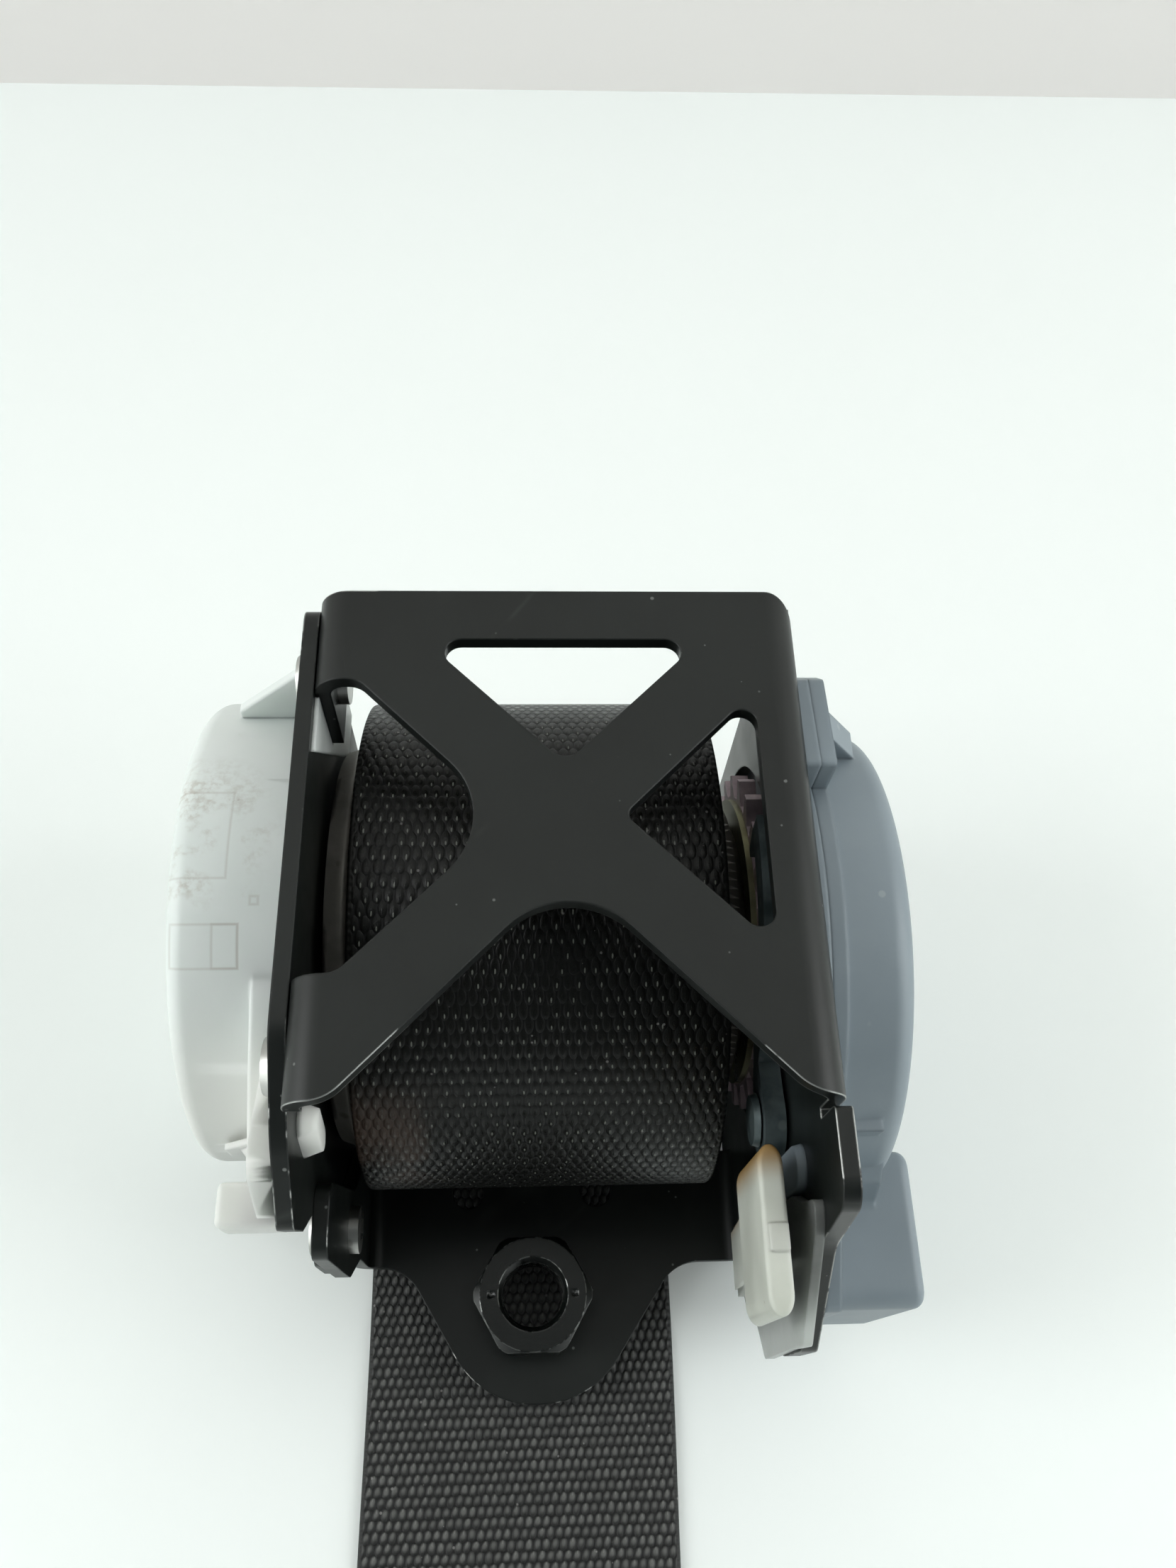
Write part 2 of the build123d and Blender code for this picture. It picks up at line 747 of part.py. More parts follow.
with BuildPart() as spring_cover:
    with BuildSketch(side_plane(left_outer)):
        with Locations(cover_middle):
            Circle(spring_cover_radius)
    extrude(amount=spring_face - left_outer)
    fillet(spring_cover.edges().group_by(Axis.X)[0], 2.4)
    with BuildSketch(front_plane(gusset_y + gusset_width / 2)):
        with BuildLine():
            Polyline(
                (left_outer, rim_top - 2 * gusset_drop),
                (left_outer, rim_top + gusset_rise),
                (spring_face + gusset_foot, rim_top - gusset_drop),
                (spring_face + gusset_foot, rim_top - 2 * gusset_drop),
                close=True,
            )
        make_face()
    extrude(amount=gusset_width)
    with BuildSketch(side_plane(left_outer)):
        with BuildLine():
            rounded(*foot_outline)
        make_face()
    extrude(amount=-foot_depth, taper=22)
    with BuildSketch(side_plane(left_outer)):
        with BuildLine():
            rounded(*apron_outline)
        make_face()
    extrude(amount=-apron_depth)
    with BuildSketch(side_plane(left_outer)):
        for y, z in cover_feet:
            SlotCenterPoint((0.85 * y, 0.85 * z), (y, z), 9.0)
    extrude(amount=-boss_depth, taper=5)
    with BuildSketch(side_plane(spring_face)):
        with Locations(cover_middle):
            Circle(cap_radius)
            with PolarLocations(cap_radius / 2, 6, start_angle=15):
                Rectangle(cap_radius, rib_width, mode=Mode.SUBTRACT)
            Circle(hub_cap_radius, mode=Mode.SUBTRACT)
    extrude(amount=cap_recess, mode=Mode.SUBTRACT)
    with BuildSketch(side_plane(left_outer)):
        with Locations(cover_middle):
            Circle(spring_cover_radius - shell_wall)
    extrude(amount=spring_face + shell_wall - left_outer, mode=Mode.SUBTRACT)
    with BuildSketch(side_plane(left_outer)):
        with Locations(*cover_feet):
            Circle(foot_radius)
    extrude(amount=sheet)
    with BuildSketch(side_plane(left_inner)):
        with Locations(*cover_feet):
            Circle(foot_radius + 0.8)
    extrude(amount=1.6, taper=20)
    with BuildSketch(side_plane(left_outer)):
        with Locations((clip_y, clip_z)):
            SlotCenterToCenter(clip_length, clip_width - 0.4, rotation=clip_angle)
    extrude(amount=sheet)
    with BuildSketch(side_plane(left_inner)):
        with Locations((clip_y, clip_z)):
            SlotCenterToCenter(clip_length + 0.6, clip_width + 1.2, rotation=clip_angle)
    extrude(amount=2.2, taper=20)
spring_cover.part.label = "spring_cover"
export_step(spring_cover.part, "parts/spring_cover.step")

# Mechanism base: a thin moulding against the wall that carries the cover
base_middle = (cover_y, cover_z)
base_rim = 0.6
lug = (
    (26.0, 20.0, 0),
    (24.2, 35.5, 2.5),
    (21.5, 39.3, 1.5),
    (8.2, 41.0, 0.6),
    (8.2, 30.0, 0),
)
base_front = -53.3
with BuildPart() as mechanism_base:
    with BuildSketch(side_plane(right_outer)):
        with Locations(base_middle):
            Circle(cover_radius + base_rim)
        with BuildLine():
            rounded(*lug)
        make_face()
        with BuildLine():
            rounded(
                (-28.0, 22.0, 0),
                (-46.0, 24.0, 2),
                (base_front, 20.0, 1.5),
                (base_front, box_bottom + 1, 3),
                (-20.0, box_bottom + 1, 0),
            )
        make_face()
        Circle(shaft_radius + bush_wall, mode=Mode.SUBTRACT)
        with Locations((neck_y, neck_z)):
            Rectangle(neck_length + neck_play, neck_height + neck_play, mode=Mode.SUBTRACT)
        with Locations((pawl_pivot_y, pawl_pivot_z)):
            Circle(pin_radius + 0.2, mode=Mode.SUBTRACT)
    extrude(amount=base_thickness)
mechanism_base.part.label = "mechanism_base"
export_step(mechanism_base.part, "parts/mechanism_base.step")

# Mechanism cover: a domed round part that runs into a deeper square box for the sensor, with a lower
# step round its rim, a wedge at its upper rear and a gusset above the box
wedge_y = 17.0
wedge_width = 4.0
wedge_root = 23.0
wedge_top = 37.0
wedge_bottom = 29.5
wedge_depth = 7.5
rib_y = -32.0
rib_thickness = 1.6
rib_top = 21.0
neck_slab_top = 14.0
slab_rear = -14.0
slab_shoulder = -37.0
rim_step = 2.0
flat_drop = 1.6
with BuildPart() as mechanism_cover:
    with BuildSketch(side_plane(base_face)):
        with Locations(base_middle):
            Circle(cover_radius)
    extrude(amount=cover_face - base_face, taper=3)
    fillet(mechanism_cover.edges().group_by(Axis.X)[-1], 3.0)
    with BuildSketch(side_plane(base_face)):
        with Locations(base_middle):
            Circle(cover_radius + base_rim)
        with BuildLine():
            rounded(*lug)
        make_face()
    extrude(amount=rim_step)
    with BuildSketch(front_plane(wedge_y + wedge_width / 2)):
        with BuildLine():
            Polyline(
                (base_face, wedge_root),
                (base_face, wedge_top),
                (base_face + rim_step, wedge_top),
                (base_face + wedge_depth, wedge_bottom),
                (base_face + wedge_depth, wedge_root),
                close=True,
            )
        make_face()
    extrude(amount=wedge_width)
    with BuildSketch(front_plane(rib_y + rib_thickness / 2)):
        with BuildLine():
            Polyline(
                (base_face, box_top - shell_wall),
                (base_face, neck_slab_top),
                (base_face + rim_step, rib_top),
                (base_face + wedge_depth, rib_top),
                (base_face + wedge_depth, box_top - shell_wall),
                close=True,
            )
        make_face()
    extrude(amount=rib_thickness)
    with BuildSketch(side_plane(base_face)):
        with BuildLine():
            rounded(
                (slab_rear, neck_slab_top + 3.0, 0),
                (slab_shoulder + 6.0, neck_slab_top + 2.0, 2),
                (slab_shoulder, neck_slab_top - 4.0, 3),
                (slab_shoulder - 2.0, box_top, 1.5),
                (box_front, box_top, 3),
                (box_front, box_bottom, 3),
                (-18.0, box_bottom, 0),
            )
        make_face()
    extrude(amount=cover_face - base_face - flat_drop)
    with BuildSketch(side_plane(base_face)):
        with BuildLine():
            rounded(
                (box_rear, box_top, 2.5),
                (box_front, box_top, 2.5),
                (box_front, box_bottom, 2.5),
                (box_rear, box_bottom, 2.5),
            )
        make_face()
    extrude(amount=box_face - base_face)
    fillet(mechanism_cover.edges().group_by(Axis.X)[-1], 1.5)
    with BuildSketch(side_plane(base_face)):
        with Locations(base_middle):
            Circle(cover_radius - shell_wall - 1.2)
    extrude(amount=cover_face - shell_wall - base_face, mode=Mode.SUBTRACT)
    with BuildSketch(side_plane(base_face)):
        with BuildLine():
            Polyline(
                (-22.0, box_top - shell_wall),
                (box_front + shell_wall, box_top - shell_wall),
                (box_front + shell_wall, box_bottom + shell_wall),
                (-22.0, box_bottom + shell_wall),
                close=True,
            )
        make_face()
    extrude(amount=cover_face - base_face - flat_drop - shell_wall, mode=Mode.SUBTRACT)
    with BuildSketch(side_plane(base_face)):
        with BuildLine():
            Polyline(
                (box_rear - shell_wall, box_top - shell_wall),
                (box_front + shell_wall, box_top - shell_wall),
                (box_front + shell_wall, box_bottom + shell_wall),
                (box_rear - shell_wall, box_bottom + shell_wall),
                close=True,
            )
        make_face()
    extrude(amount=box_face - shell_wall - base_face, mode=Mode.SUBTRACT)
mechanism_cover.part.label = "mechanism_cover"
export_step(mechanism_cover.part, "parts/mechanism_cover.step")

# Peg that holds the mechanism base in the slot of the wall
peg_head = 1.1
with BuildPart() as base_peg:
    with BuildSketch(side_plane(right_inner)):
        with Locations((peg_y, peg_z)):
            SlotCenterToCenter(peg_length, peg_width, rotation=90)
    extrude(amount=sheet)
    with BuildSketch(side_plane(right_inner)):
        with Locations((peg_y, peg_z)):
            SlotCenterToCenter(peg_length - 1, peg_width + 1.4, rotation=90)
    extrude(amount=-peg_head, taper=15)
base_peg.part.label = "base_peg"
export_step(base_peg.part, "parts/base_peg.step")

# Steering disc: fine teeth for the sensor lever
steering_pitch = 360 / steering_teeth
steering_hole = 4.0
with BuildPart() as steering_disc:
    with BuildSketch(side_plane(steering_left)):
        Circle(steering_root)
        with PolarLocations(0, steering_teeth, start_angle=2.0):
            Polygon(
                polar(steering_root - 1, 0),
                polar(steering_radius, 0),
                polar(steering_radius, 0.2 * steering_pitch),
                polar(steering_root - 1, 0.6 * steering_pitch),
            )
        Circle(shaft_radius + running_gap, mode=Mode.SUBTRACT)
        with PolarLocations(0.6 * steering_radius, 4):
            Circle(steering_hole, mode=Mode.SUBTRACT)
    extrude(amount=steering_thickness)
steering_disc.part.label = "steering_disc"
export_step(steering_disc.part, "parts/steering_disc.step")

# Inertia mass: a heavy lobed disc that lags behind a sudden pull
inertia_notch = 5.0
with BuildPart() as inertia_mass:
    with BuildSketch(side_plane(inertia_left)):
        Circle(inertia_radius)
        with Locations((0, inertia_radius), (0, -inertia_radius)):
            Circle(inertia_notch, mode=Mode.SUBTRACT)
        Circle(shaft_radius + running_gap, mode=Mode.SUBTRACT)
    extrude(amount=inertia_thickness)
inertia_mass.part.label = "inertia_mass"
export_step(inertia_mass.part, "parts/inertia_mass.step")

# Ivory sensor cartridge: an outer housing inside the wall, a flat link behind it down to a neck
# through the wall's window, and a dish for the ball in the box
housing_rear = -36.4
housing_front = -54.5
housing_top = 34.0
housing_bottom = 10.0
housing_x = (housing_left + housing_right) / 2
boss_y = -46.5
boss_height = 0.5
boss_width = 2.4
boss_length = 3.0
link_width = 8.0
link_top = housing_bottom + 4.0
dish_half = 4.9
ear_thickness = 1.4
dish_z = ball_z - ball_radius + dish_radius
with BuildPart() as sensor_cartridge:
    with BuildSketch(level_plane(housing_bottom)):
        with Locations((housing_x, (housing_front + housing_rear) / 2)):
            SlotOverall(housing_rear - housing_front, housing_thickness, rotation=90)
    extrude(amount=housing_top - housing_bottom)
    fillet(sensor_cartridge.edges().group_by(Axis.Z)[-1], 0.9)
    with BuildSketch(level_plane(housing_top)):
        with Locations((housing_x + 0.4, boss_y)):
            Rectangle(boss_width, boss_length)
    extrude(amount=boss_height)
    with BuildSketch(side_plane(housing_right - 1.0)):
        with Locations((neck_y, (neck_bottom + link_top) / 2)):
            Rectangle(link_width, link_top - neck_bottom)
    extrude(amount=housing_gap + 1.0)
    with BuildSketch(side_plane(housing_right)):
        with Locations((neck_y, neck_z)):
            Rectangle(neck_length, neck_height)
    extrude(amount=sensor_x + dish_half - housing_right)
    with BuildSketch(side_plane(sensor_x)):
        with BuildLine():
            Line((ball_y, dish_z), (ball_y, dish_z - dish_radius))
            CenterArc((ball_y, dish_z), dish_radius, -90, 90)
            Line((ball_y + dish_radius, dish_z), (ball_y, dish_z))
        make_face()
    dish_axis = Axis((spool_x + sensor_x, spool_y + ball_y, spool_z), (0, 0, 1))
    revolve(axis=dish_axis, mode=Mode.SUBTRACT)
    with BuildSketch(side_plane(sensor_x + dish_half - ear_thickness)):
        with BuildLine():
            Polyline(
                (neck_rear - 1.0, neck_top - 2),
                (neck_rear - 1.0, lever_pivot_z + 2.0),
                (lever_pivot_y + 1.8, lever_pivot_z + 2.0),
                (lever_pivot_y + 1.8, neck_top),
                (neck_rear, neck_top - 2),
                close=True,
            )
        make_face()
    extrude(amount=ear_thickness)
sensor_cartridge.part.label = "sensor_cartridge"
export_step(sensor_cartridge.part, "parts/sensor_cartridge.step")

with BuildPart() as sensor_ball:
    with BuildSketch(side_plane(sensor_x)):
        with BuildLine():
            CenterArc((ball_y, ball_z), ball_radius - 0.02, -90, 180)
            Line((ball_y, ball_z + ball_radius - 0.02), (ball_y, ball_z - ball_radius + 0.02))
        make_face()
    revolve(axis=Axis((spool_x + sensor_x, spool_y + ball_y, spool_z), (0, 0, 1)))
sensor_ball.part.label = "sensor_ball"
export_step(sensor_ball.part, "parts/sensor_ball.step")

# Sensor lever: a cap over the ball and a claw that rises to the steering disc's teeth
lever_left = steering_left + 0.4
claw_right = steering_right
lever_right = sensor_x + dish_half - ear_thickness - seat_gap
cap_under = ball_z + ball_radius + seat_gap
claw_y = -(steering_radius + 0.8)
claw_z = -1.0
with BuildPart() as sensor_lever:
    with BuildSketch(side_plane(lever_left)):
        with BuildLine():
            Polyline(
                (lever_pivot_y - 1.0, cap_under + 1.2),
                (lever_pivot_y - 1.0, lever_pivot_z + 1.6),
                (claw_y - 1.4, claw_z + 0.4),
                (claw_y, claw_z),
                (claw_y - 0.6, claw_z - 1.8),
                (lever_pivot_y + 1.6, lever_pivot_z - 1.0),
                (lever_pivot_y - 1.0, lever_pivot_z - 1.2),
                close=True,
            )
        make_face()
    extrude(amount=claw_right - lever_left)
    with BuildSketch(side_plane(lever_left)):
        with Locations((lever_pivot_y, lever_pivot_z)):
            Circle(1.9)
    extrude(amount=lever_right - lever_left)
    with BuildSketch(side_plane(lever_left)):
        with Locations(((ball_y - 3 + lever_pivot_y) / 2, cap_under + 0.6)):
            Rectangle(lever_pivot_y - ball_y + 3, 1.2)
    extrude(amount=lever_right - lever_left)
    with BuildSketch(side_plane(lever_left)):
        with Locations((lever_pivot_y, lever_pivot_z)):
            Circle(lever_pin_radius + running_gap)
    extrude(amount=lever_right - lever_left, mode=Mode.SUBTRACT)
sensor_lever.part.label = "sensor_lever"
export_step(sensor_lever.part, "parts/sensor_lever.step")

with BuildPart() as lever_pin:
    with BuildSketch(side_plane(base_face)):
        with Locations((lever_pivot_y, lever_pivot_z)):
            Circle(lever_pin_radius)
    extrude(amount=sensor_x + dish_half - ear_thickness - base_face)
lever_pin.part.label = "lever_pin"
export_step(lever_pin.part, "parts/lever_pin.step")

# Clear bracket between the ivory housing and the wall, open round the link and the peg
with BuildPart() as sensor_bracket:
    with BuildSketch(side_plane(housing_right + seat_gap / 2)):
        with BuildLine():
            rounded(
                (-38.6, 16.5, 1),
                (-42.0, 27.5, 3),
                (-42.6, 34.5, 1),
                (-45.9, 33.5, 2),
                (-56.9, 20.5, 2),
                (-56.8, 12.0, 2),
                (-57.2, -5.5, 1.5),
                (-52.5, -10.0, 1.5),
                (neck_front - seat_gap, -11.0, 1),
                (neck_front - seat_gap, link_top + seat_gap, 0),
            )
        make_face()
        with Locations((peg_y, peg_z)):
            SlotCenterToCenter(peg_length + 1, peg_width + 1.6, rotation=90, mode=Mode.SUBTRACT)
    extrude(amount=housing_gap - seat_gap / 2)
sensor_bracket.part.label = "sensor_bracket"
export_step(sensor_bracket.part, "parts/sensor_bracket.step")

# Webbing tail: it peels off the roll as the next turn and lies along the floor
tail_middle = -(roll_radius + seat_gap + webbing_thickness / 2)
tail_left = tail_shift - webbing_width / 2
with BuildPart() as webbing_tail:
    with BuildSketch(side_plane(tail_left)):
        with BuildLine():
            CenterArc((0, 0), -tail_middle, -90, tail_wrap)
            Line((0, tail_middle), (hank_rear - 0.3 * hank_length, tail_middle))
        trace(line_width=webbing_thickness)
    extrude(amount=webbing_width)
webbing_tail.part.label = "webbing_tail"
export_step(webbing_tail.part, "parts/webbing_tail.step")

# The rest of the webbing, folded into a flat hank
band = webbing_thickness
hank_height = hank_layers * hank_pitch
hank_front = hank_rear - hank_length
with BuildPart() as webbing_hank:
    with BuildSketch(side_plane(tail_left)):
        with Locations(((hank_front + hank_rear) / 2, floor_z + band + hank_height / 2)):
            SlotOverall(hank_length, hank_height)
    extrude(amount=webbing_width)
webbing_hank.part.label = "webbing_hank"
export_step(webbing_hank.part, "parts/webbing_hank.step")

# Band that holds the hank
band_width = 20.0
band_middle = (hank_front + hank_rear) / 2
with BuildPart() as hank_band:
    with BuildSketch(front_plane(band_middle + band_width / 2)):
        with Locations((tail_shift, floor_z + band + hank_height / 2)):
            RectangleRounded(webbing_width + 2 * band, hank_height + 2 * band, 2 * band)
            Rectangle(webbing_width, hank_height, mode=Mode.SUBTRACT)
    extrude(amount=band_width)
hank_band.part.label = "hank_band"
export_step(hank_band.part, "parts/hank_band.step")

# Latch tongue: a steel blade whose slotted root is moulded into a plastic grip
tongue_z = floor_z + band + hank_height
grip_length = 24.0
grip_width = 62.0
grip_height = 8.0
grip_y = hank_front + 22.0
blade_length = 38.0
blade_width = 26.0
slot_width = webbing_width + 3.0
slot_height = 4.0
slot_wall = 3.0
blade_z = tongue_z + (grip_height - tongue_thickness) / 2


def tongue_steel():
    with Locations((tail_shift, grip_y)):
        RectangleRounded(grip_width - 4, grip_length - 6, 4)
    with Locations((tail_shift, grip_y + blade_length / 2)):
        RectangleRounded(blade_width, blade_length, 5)
    with Locations((tail_shift, grip_y)):
        SlotOverall(slot_width + 2 * slot_wall - 2, slot_height + slot_wall, mode=Mode.SUBTRACT)


with BuildPart() as latch_tongue:
    with BuildSketch(level_plane(blade_z)):
        tongue_steel()
        with Locations((tail_shift, grip_y + blade_length - 11.0)):
            RectangleRounded(13.0, 10.0, 2.0, mode=Mode.SUBTRACT)
    extrude(amount=tongue_thickness)
latch_tongue.part.label = "latch_tongue"
export_step(latch_tongue.part, "parts/latch_tongue.step")

with BuildPart() as tongue_grip:
    with BuildSketch(level_plane(tongue_z)):
        with Locations((tail_shift, grip_y)):
            RectangleRounded(grip_width, grip_length, 7)
    extrude(amount=grip_height)
    fillet(tongue_grip.edges().group_by(Axis.Z)[-1] + tongue_grip.edges().group_by(Axis.Z)[0], 1.8)
    with BuildSketch(level_plane(tongue_z)):
        with Locations((tail_shift, grip_y)):
            SlotOverall(slot_width, slot_height)
    extrude(amount=grip_height, mode=Mode.SUBTRACT)
    with BuildSketch(level_plane(blade_z)):
        tongue_steel()
    extrude(amount=tongue_thickness, mode=Mode.SUBTRACT)
tongue_grip.part.label = "tongue_grip"
export_step(tongue_grip.part, "parts/tongue_grip.step")

# Stop button: a disc above the webbing and the rivet half that goes through it
button_y = hank_rear - 14.0
button_radius = 7.0
with BuildPart() as stop_button:
    with BuildSketch(level_plane(tongue_z)):
        with Locations((tail_shift, button_y)):
            Circle(button_radius)
    extrude(amount=2.6)
    fillet(stop_button.edges().group_by(Axis.Z)[-1], 1.2)
stop_button.part.label = "stop_button"
export_step(stop_button.part, "parts/stop_button.step")

# Last stretch of the webbing: it rises through the tongue, comes down to the end plate, loops
# round its bar and is sewn back
bar_depth = 6.0
bar_front = hank_front - 35.0
over_grip = tongue_z + grip_height + webbing_thickness / 2
loop_low = floor_z + webbing_thickness / 2 + seat_gap / 2
loop_high = loop_low + webbing_thickness + end_plate_thickness + 0.2
loop_front = bar_front - 1.0
with BuildPart() as webbing_end:
    with BuildSketch(side_plane(tail_left)):
        with BuildLine():
            FilletPolyline(
                (grip_y, tongue_z),
                (grip_y, over_grip),
                (grip_y - grip_length / 2 - 1.5, over_grip),
                (hank_front - 6.0, loop_high),
                (loop_front, loop_high),
                (loop_front, loop_low),
                (bar_front + bar_depth + 2.0, loop_low),
                (bar_front + bar_depth + 6.0, loop_high - webbing_thickness),
                (hank_front - 8.0, loop_high - webbing_thickness),
                radius=0.8,
            )
        trace(line_width=webbing_thickness)
    extrude(amount=webbing_width)
webbing_end.part.label = "webbing_end"
export_step(webbing_end.part, "parts/webbing_end.step")

# End anchor plate with its bolt hole and its webbing slot
eye_y = bar_front - 24.0
eye_radius = 15.0
eye_hole = 5.7
plate_z = loop_low + webbing_thickness / 2 + 0.1
with BuildPart() as end_anchor_plate:
    with BuildSketch(level_plane(plate_z)):
        with Locations((tail_shift, eye_y)):
            Circle(eye_radius)
        with Locations((tail_shift, bar_front - 1.0)):
            RectangleRounded(slot_width + 10, 2 * bar_depth + 2, 4)
        with BuildLine():
            Polyline(
                (tail_shift - eye_radius, eye_y + 2),
                (tail_shift - slot_width / 2 - 4.5, bar_front - 5.0),
                (tail_shift + slot_width / 2 + 4.5, bar_front - 5.0),
                (tail_shift + eye_radius, eye_y + 2),
                close=True,
            )
        make_face()
        with Locations((tail_shift, bar_front - slot_height / 2)):
            SlotOverall(slot_width, slot_height, mode=Mode.SUBTRACT)
        with Locations((tail_shift, eye_y)):
            Circle(eye_hole, mode=Mode.SUBTRACT)
    extrude(amount=end_plate_thickness)
end_anchor_plate.part.label = "end_anchor_plate"
export_step(end_anchor_plate.part, "parts/end_anchor_plate.step")
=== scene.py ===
import math

import bmesh
import bpy
import numpy as np
from mathutils import Matrix, Vector


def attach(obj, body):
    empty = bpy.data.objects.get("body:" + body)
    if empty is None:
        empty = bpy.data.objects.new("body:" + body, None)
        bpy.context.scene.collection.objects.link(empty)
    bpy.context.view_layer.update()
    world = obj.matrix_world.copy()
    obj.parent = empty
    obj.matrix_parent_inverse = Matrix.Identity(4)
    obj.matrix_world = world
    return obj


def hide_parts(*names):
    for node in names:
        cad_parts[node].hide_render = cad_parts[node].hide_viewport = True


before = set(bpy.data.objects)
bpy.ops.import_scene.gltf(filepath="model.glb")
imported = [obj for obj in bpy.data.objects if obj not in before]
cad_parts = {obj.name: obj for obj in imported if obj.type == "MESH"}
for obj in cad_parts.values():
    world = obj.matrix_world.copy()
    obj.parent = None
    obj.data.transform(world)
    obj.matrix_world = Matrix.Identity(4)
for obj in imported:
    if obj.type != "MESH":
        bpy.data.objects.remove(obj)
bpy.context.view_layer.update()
print("frame loaded,", len(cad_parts), "nodes")

# Places below are in millimetres about the spool's axis, as on the drawing of the part
spoolAt = (-2.0, 12.9, 37.3)
floorZ = -spoolAt[2]
coverMiddle = (2.4, 0.6)  # Y and Z of the spring cover's round part


def at(x, y, z):
    return Vector(((x + spoolAt[0]) / 1000, (y + spoolAt[1]) / 1000, (z + spoolAt[2]) / 1000))


# node helpers
def treeNode(tree, kind, sockets=None, **settings):
    made = tree.nodes.new(kind)
    for key, value in settings.items():
        setattr(made, key, value)
    for key, value in (sockets or {}).items():
        if isinstance(value, bpy.types.NodeSocket):
            tree.links.new(value, made.inputs[key])
        else:
            made.inputs[key].default_value = value
    return made


def shaderNode(tree, kind, sockets=None, **settings):
    return treeNode(tree, "ShaderNode" + kind, sockets, **settings)


def calc(tree, operation, a, b=0.0, c=0.0, clamp=False):
    return shaderNode(tree, "Math", {0: a, 1: b, 2: c}, operation=operation, use_clamp=clamp).outputs[0]


def ramp(tree, value, low, high, toLow=0.0, toHigh=1.0, smooth=True):
    kind = "SMOOTHSTEP" if smooth else "LINEAR"
    limits = {0: value, 1: low, 2: high, 3: toLow, 4: toHigh}
    return shaderNode(tree, "MapRange", limits, interpolation_type=kind).outputs[0]


def blendColor(tree, factor, a, b):
    return shaderNode(tree, "Mix", {0: factor, 6: a, 7: b}, data_type="RGBA").outputs[2]


def vectorCalc(tree, operation, a, b):
    return shaderNode(tree, "VectorMath", {0: a, 1: b}, operation=operation).outputs


def noise(tree, place, scale, detail, roughness=0.5):
    sockets = {"Vector": place, "Scale": scale, "Detail": detail, "Roughness": roughness}
    return shaderNode(tree, "TexNoise", sockets).outputs[0]


def squaredShare(tree, value, reach):
    # how far a value lies out of the middle, as a share of its reach, squared
    return calc(tree, "POWER", calc(tree, "ABSOLUTE", calc(tree, "DIVIDE", value, reach)), 2.0)


def insideOval(tree, a, b):
    # 1 in the middle of an oval or a line, and 0 past its edge
    return calc(tree, "SUBTRACT", 1.0, calc(tree, "ADD", a, b), clamp=True)


def newTree(kind, name, inputs, outputs):
    tree = bpy.data.node_groups.new(name, kind)
    for label, sort, value in inputs:
        socket = tree.interface.new_socket(name=label, in_out="INPUT", socket_type="NodeSocket" + sort)
        if value is not None:
            socket.default_value = value
    for label, sort in outputs:
        tree.interface.new_socket(name=label, in_out="OUTPUT", socket_type="NodeSocket" + sort)
    return tree, tree.nodes.new("NodeGroupInput").outputs, tree.nodes.new("NodeGroupOutput").inputs


def newGroup(name, outputs, **sizes):
    # an effect's inputs are its place and its sizes, and a capital inside a size's name is a new word
    inputs = [("Place", "Vector", None)]
    inputs += [(label, "Float", value) for label, value in wordsOf(sizes).items()]
    return newTree("ShaderNodeTree", name, inputs, outputs)


def wordsOf(sizes):
    spaced = {}
    for key, value in sizes.items():
        label = "".join(" " + letter if letter.isupper() else letter for letter in key)
        spaced[label.title()] = value
    return spaced


def useGroup(tree, group, place, **values):
    sockets = {"Place": place, **wordsOf(values)}
    return treeNode(tree, "ShaderNodeGroup", sockets, node_tree=group).outputs


# shared effects
def makeEdgeWear():
    # bright metal where a sharp edge has lost its coat
    tree, given, out = newGroup(
        "edgeWear", [("Mask", "Float"), ("Soft Normal", "Vector")], radius=0.0004, reach=0.5, breakup=400.0,
    )
    soft = shaderNode(tree, "Bevel", {"Radius": given["Radius"]}, samples=6).outputs[0]
    true = shaderNode(tree, "NewGeometry").outputs["Normal"]
    edge = ramp(tree, vectorCalc(tree, "DOT_PRODUCT", soft, true)["Value"], 0.995, 0.86)
    rough = noise(tree, given["Place"], given["Breakup"], 3.0)
    worn = calc(tree, "ADD", rough, calc(tree, "SUBTRACT", given["Reach"], 0.5))
    patchy = ramp(tree, worn, 0.44, 0.58)
    tree.links.new(calc(tree, "MULTIPLY", edge, patchy, clamp=True), out["Mask"])
    tree.links.new(soft, out["Soft Normal"])
    return tree


def makeSpecks():
    # small round specks: dust, chips or flakes
    tree, given, out = newGroup("specks", [("Mask", "Float")], scale=600.0, share=0.1, size=0.25)
    cells = shaderNode(
        tree, "TexVoronoi", {"Vector": given["Place"], "Scale": given["Scale"], "Randomness": 1.0},
    ).outputs
    chosen = shaderNode(tree, "SeparateColor", {0: cells["Color"]}).outputs
    keep = calc(tree, "LESS_THAN", chosen[0], given["Share"])
    grow = calc(tree, "MULTIPLY", given["Size"], calc(tree, "ADD", chosen[1], 0.4))
    near = calc(tree, "SUBTRACT", 1.0, calc(tree, "DIVIDE", cells["Distance"], grow), clamp=True)
    tree.links.new(calc(tree, "MULTIPLY", keep, ramp(tree, near, 0.0, 0.45)), out["Mask"])
    return tree


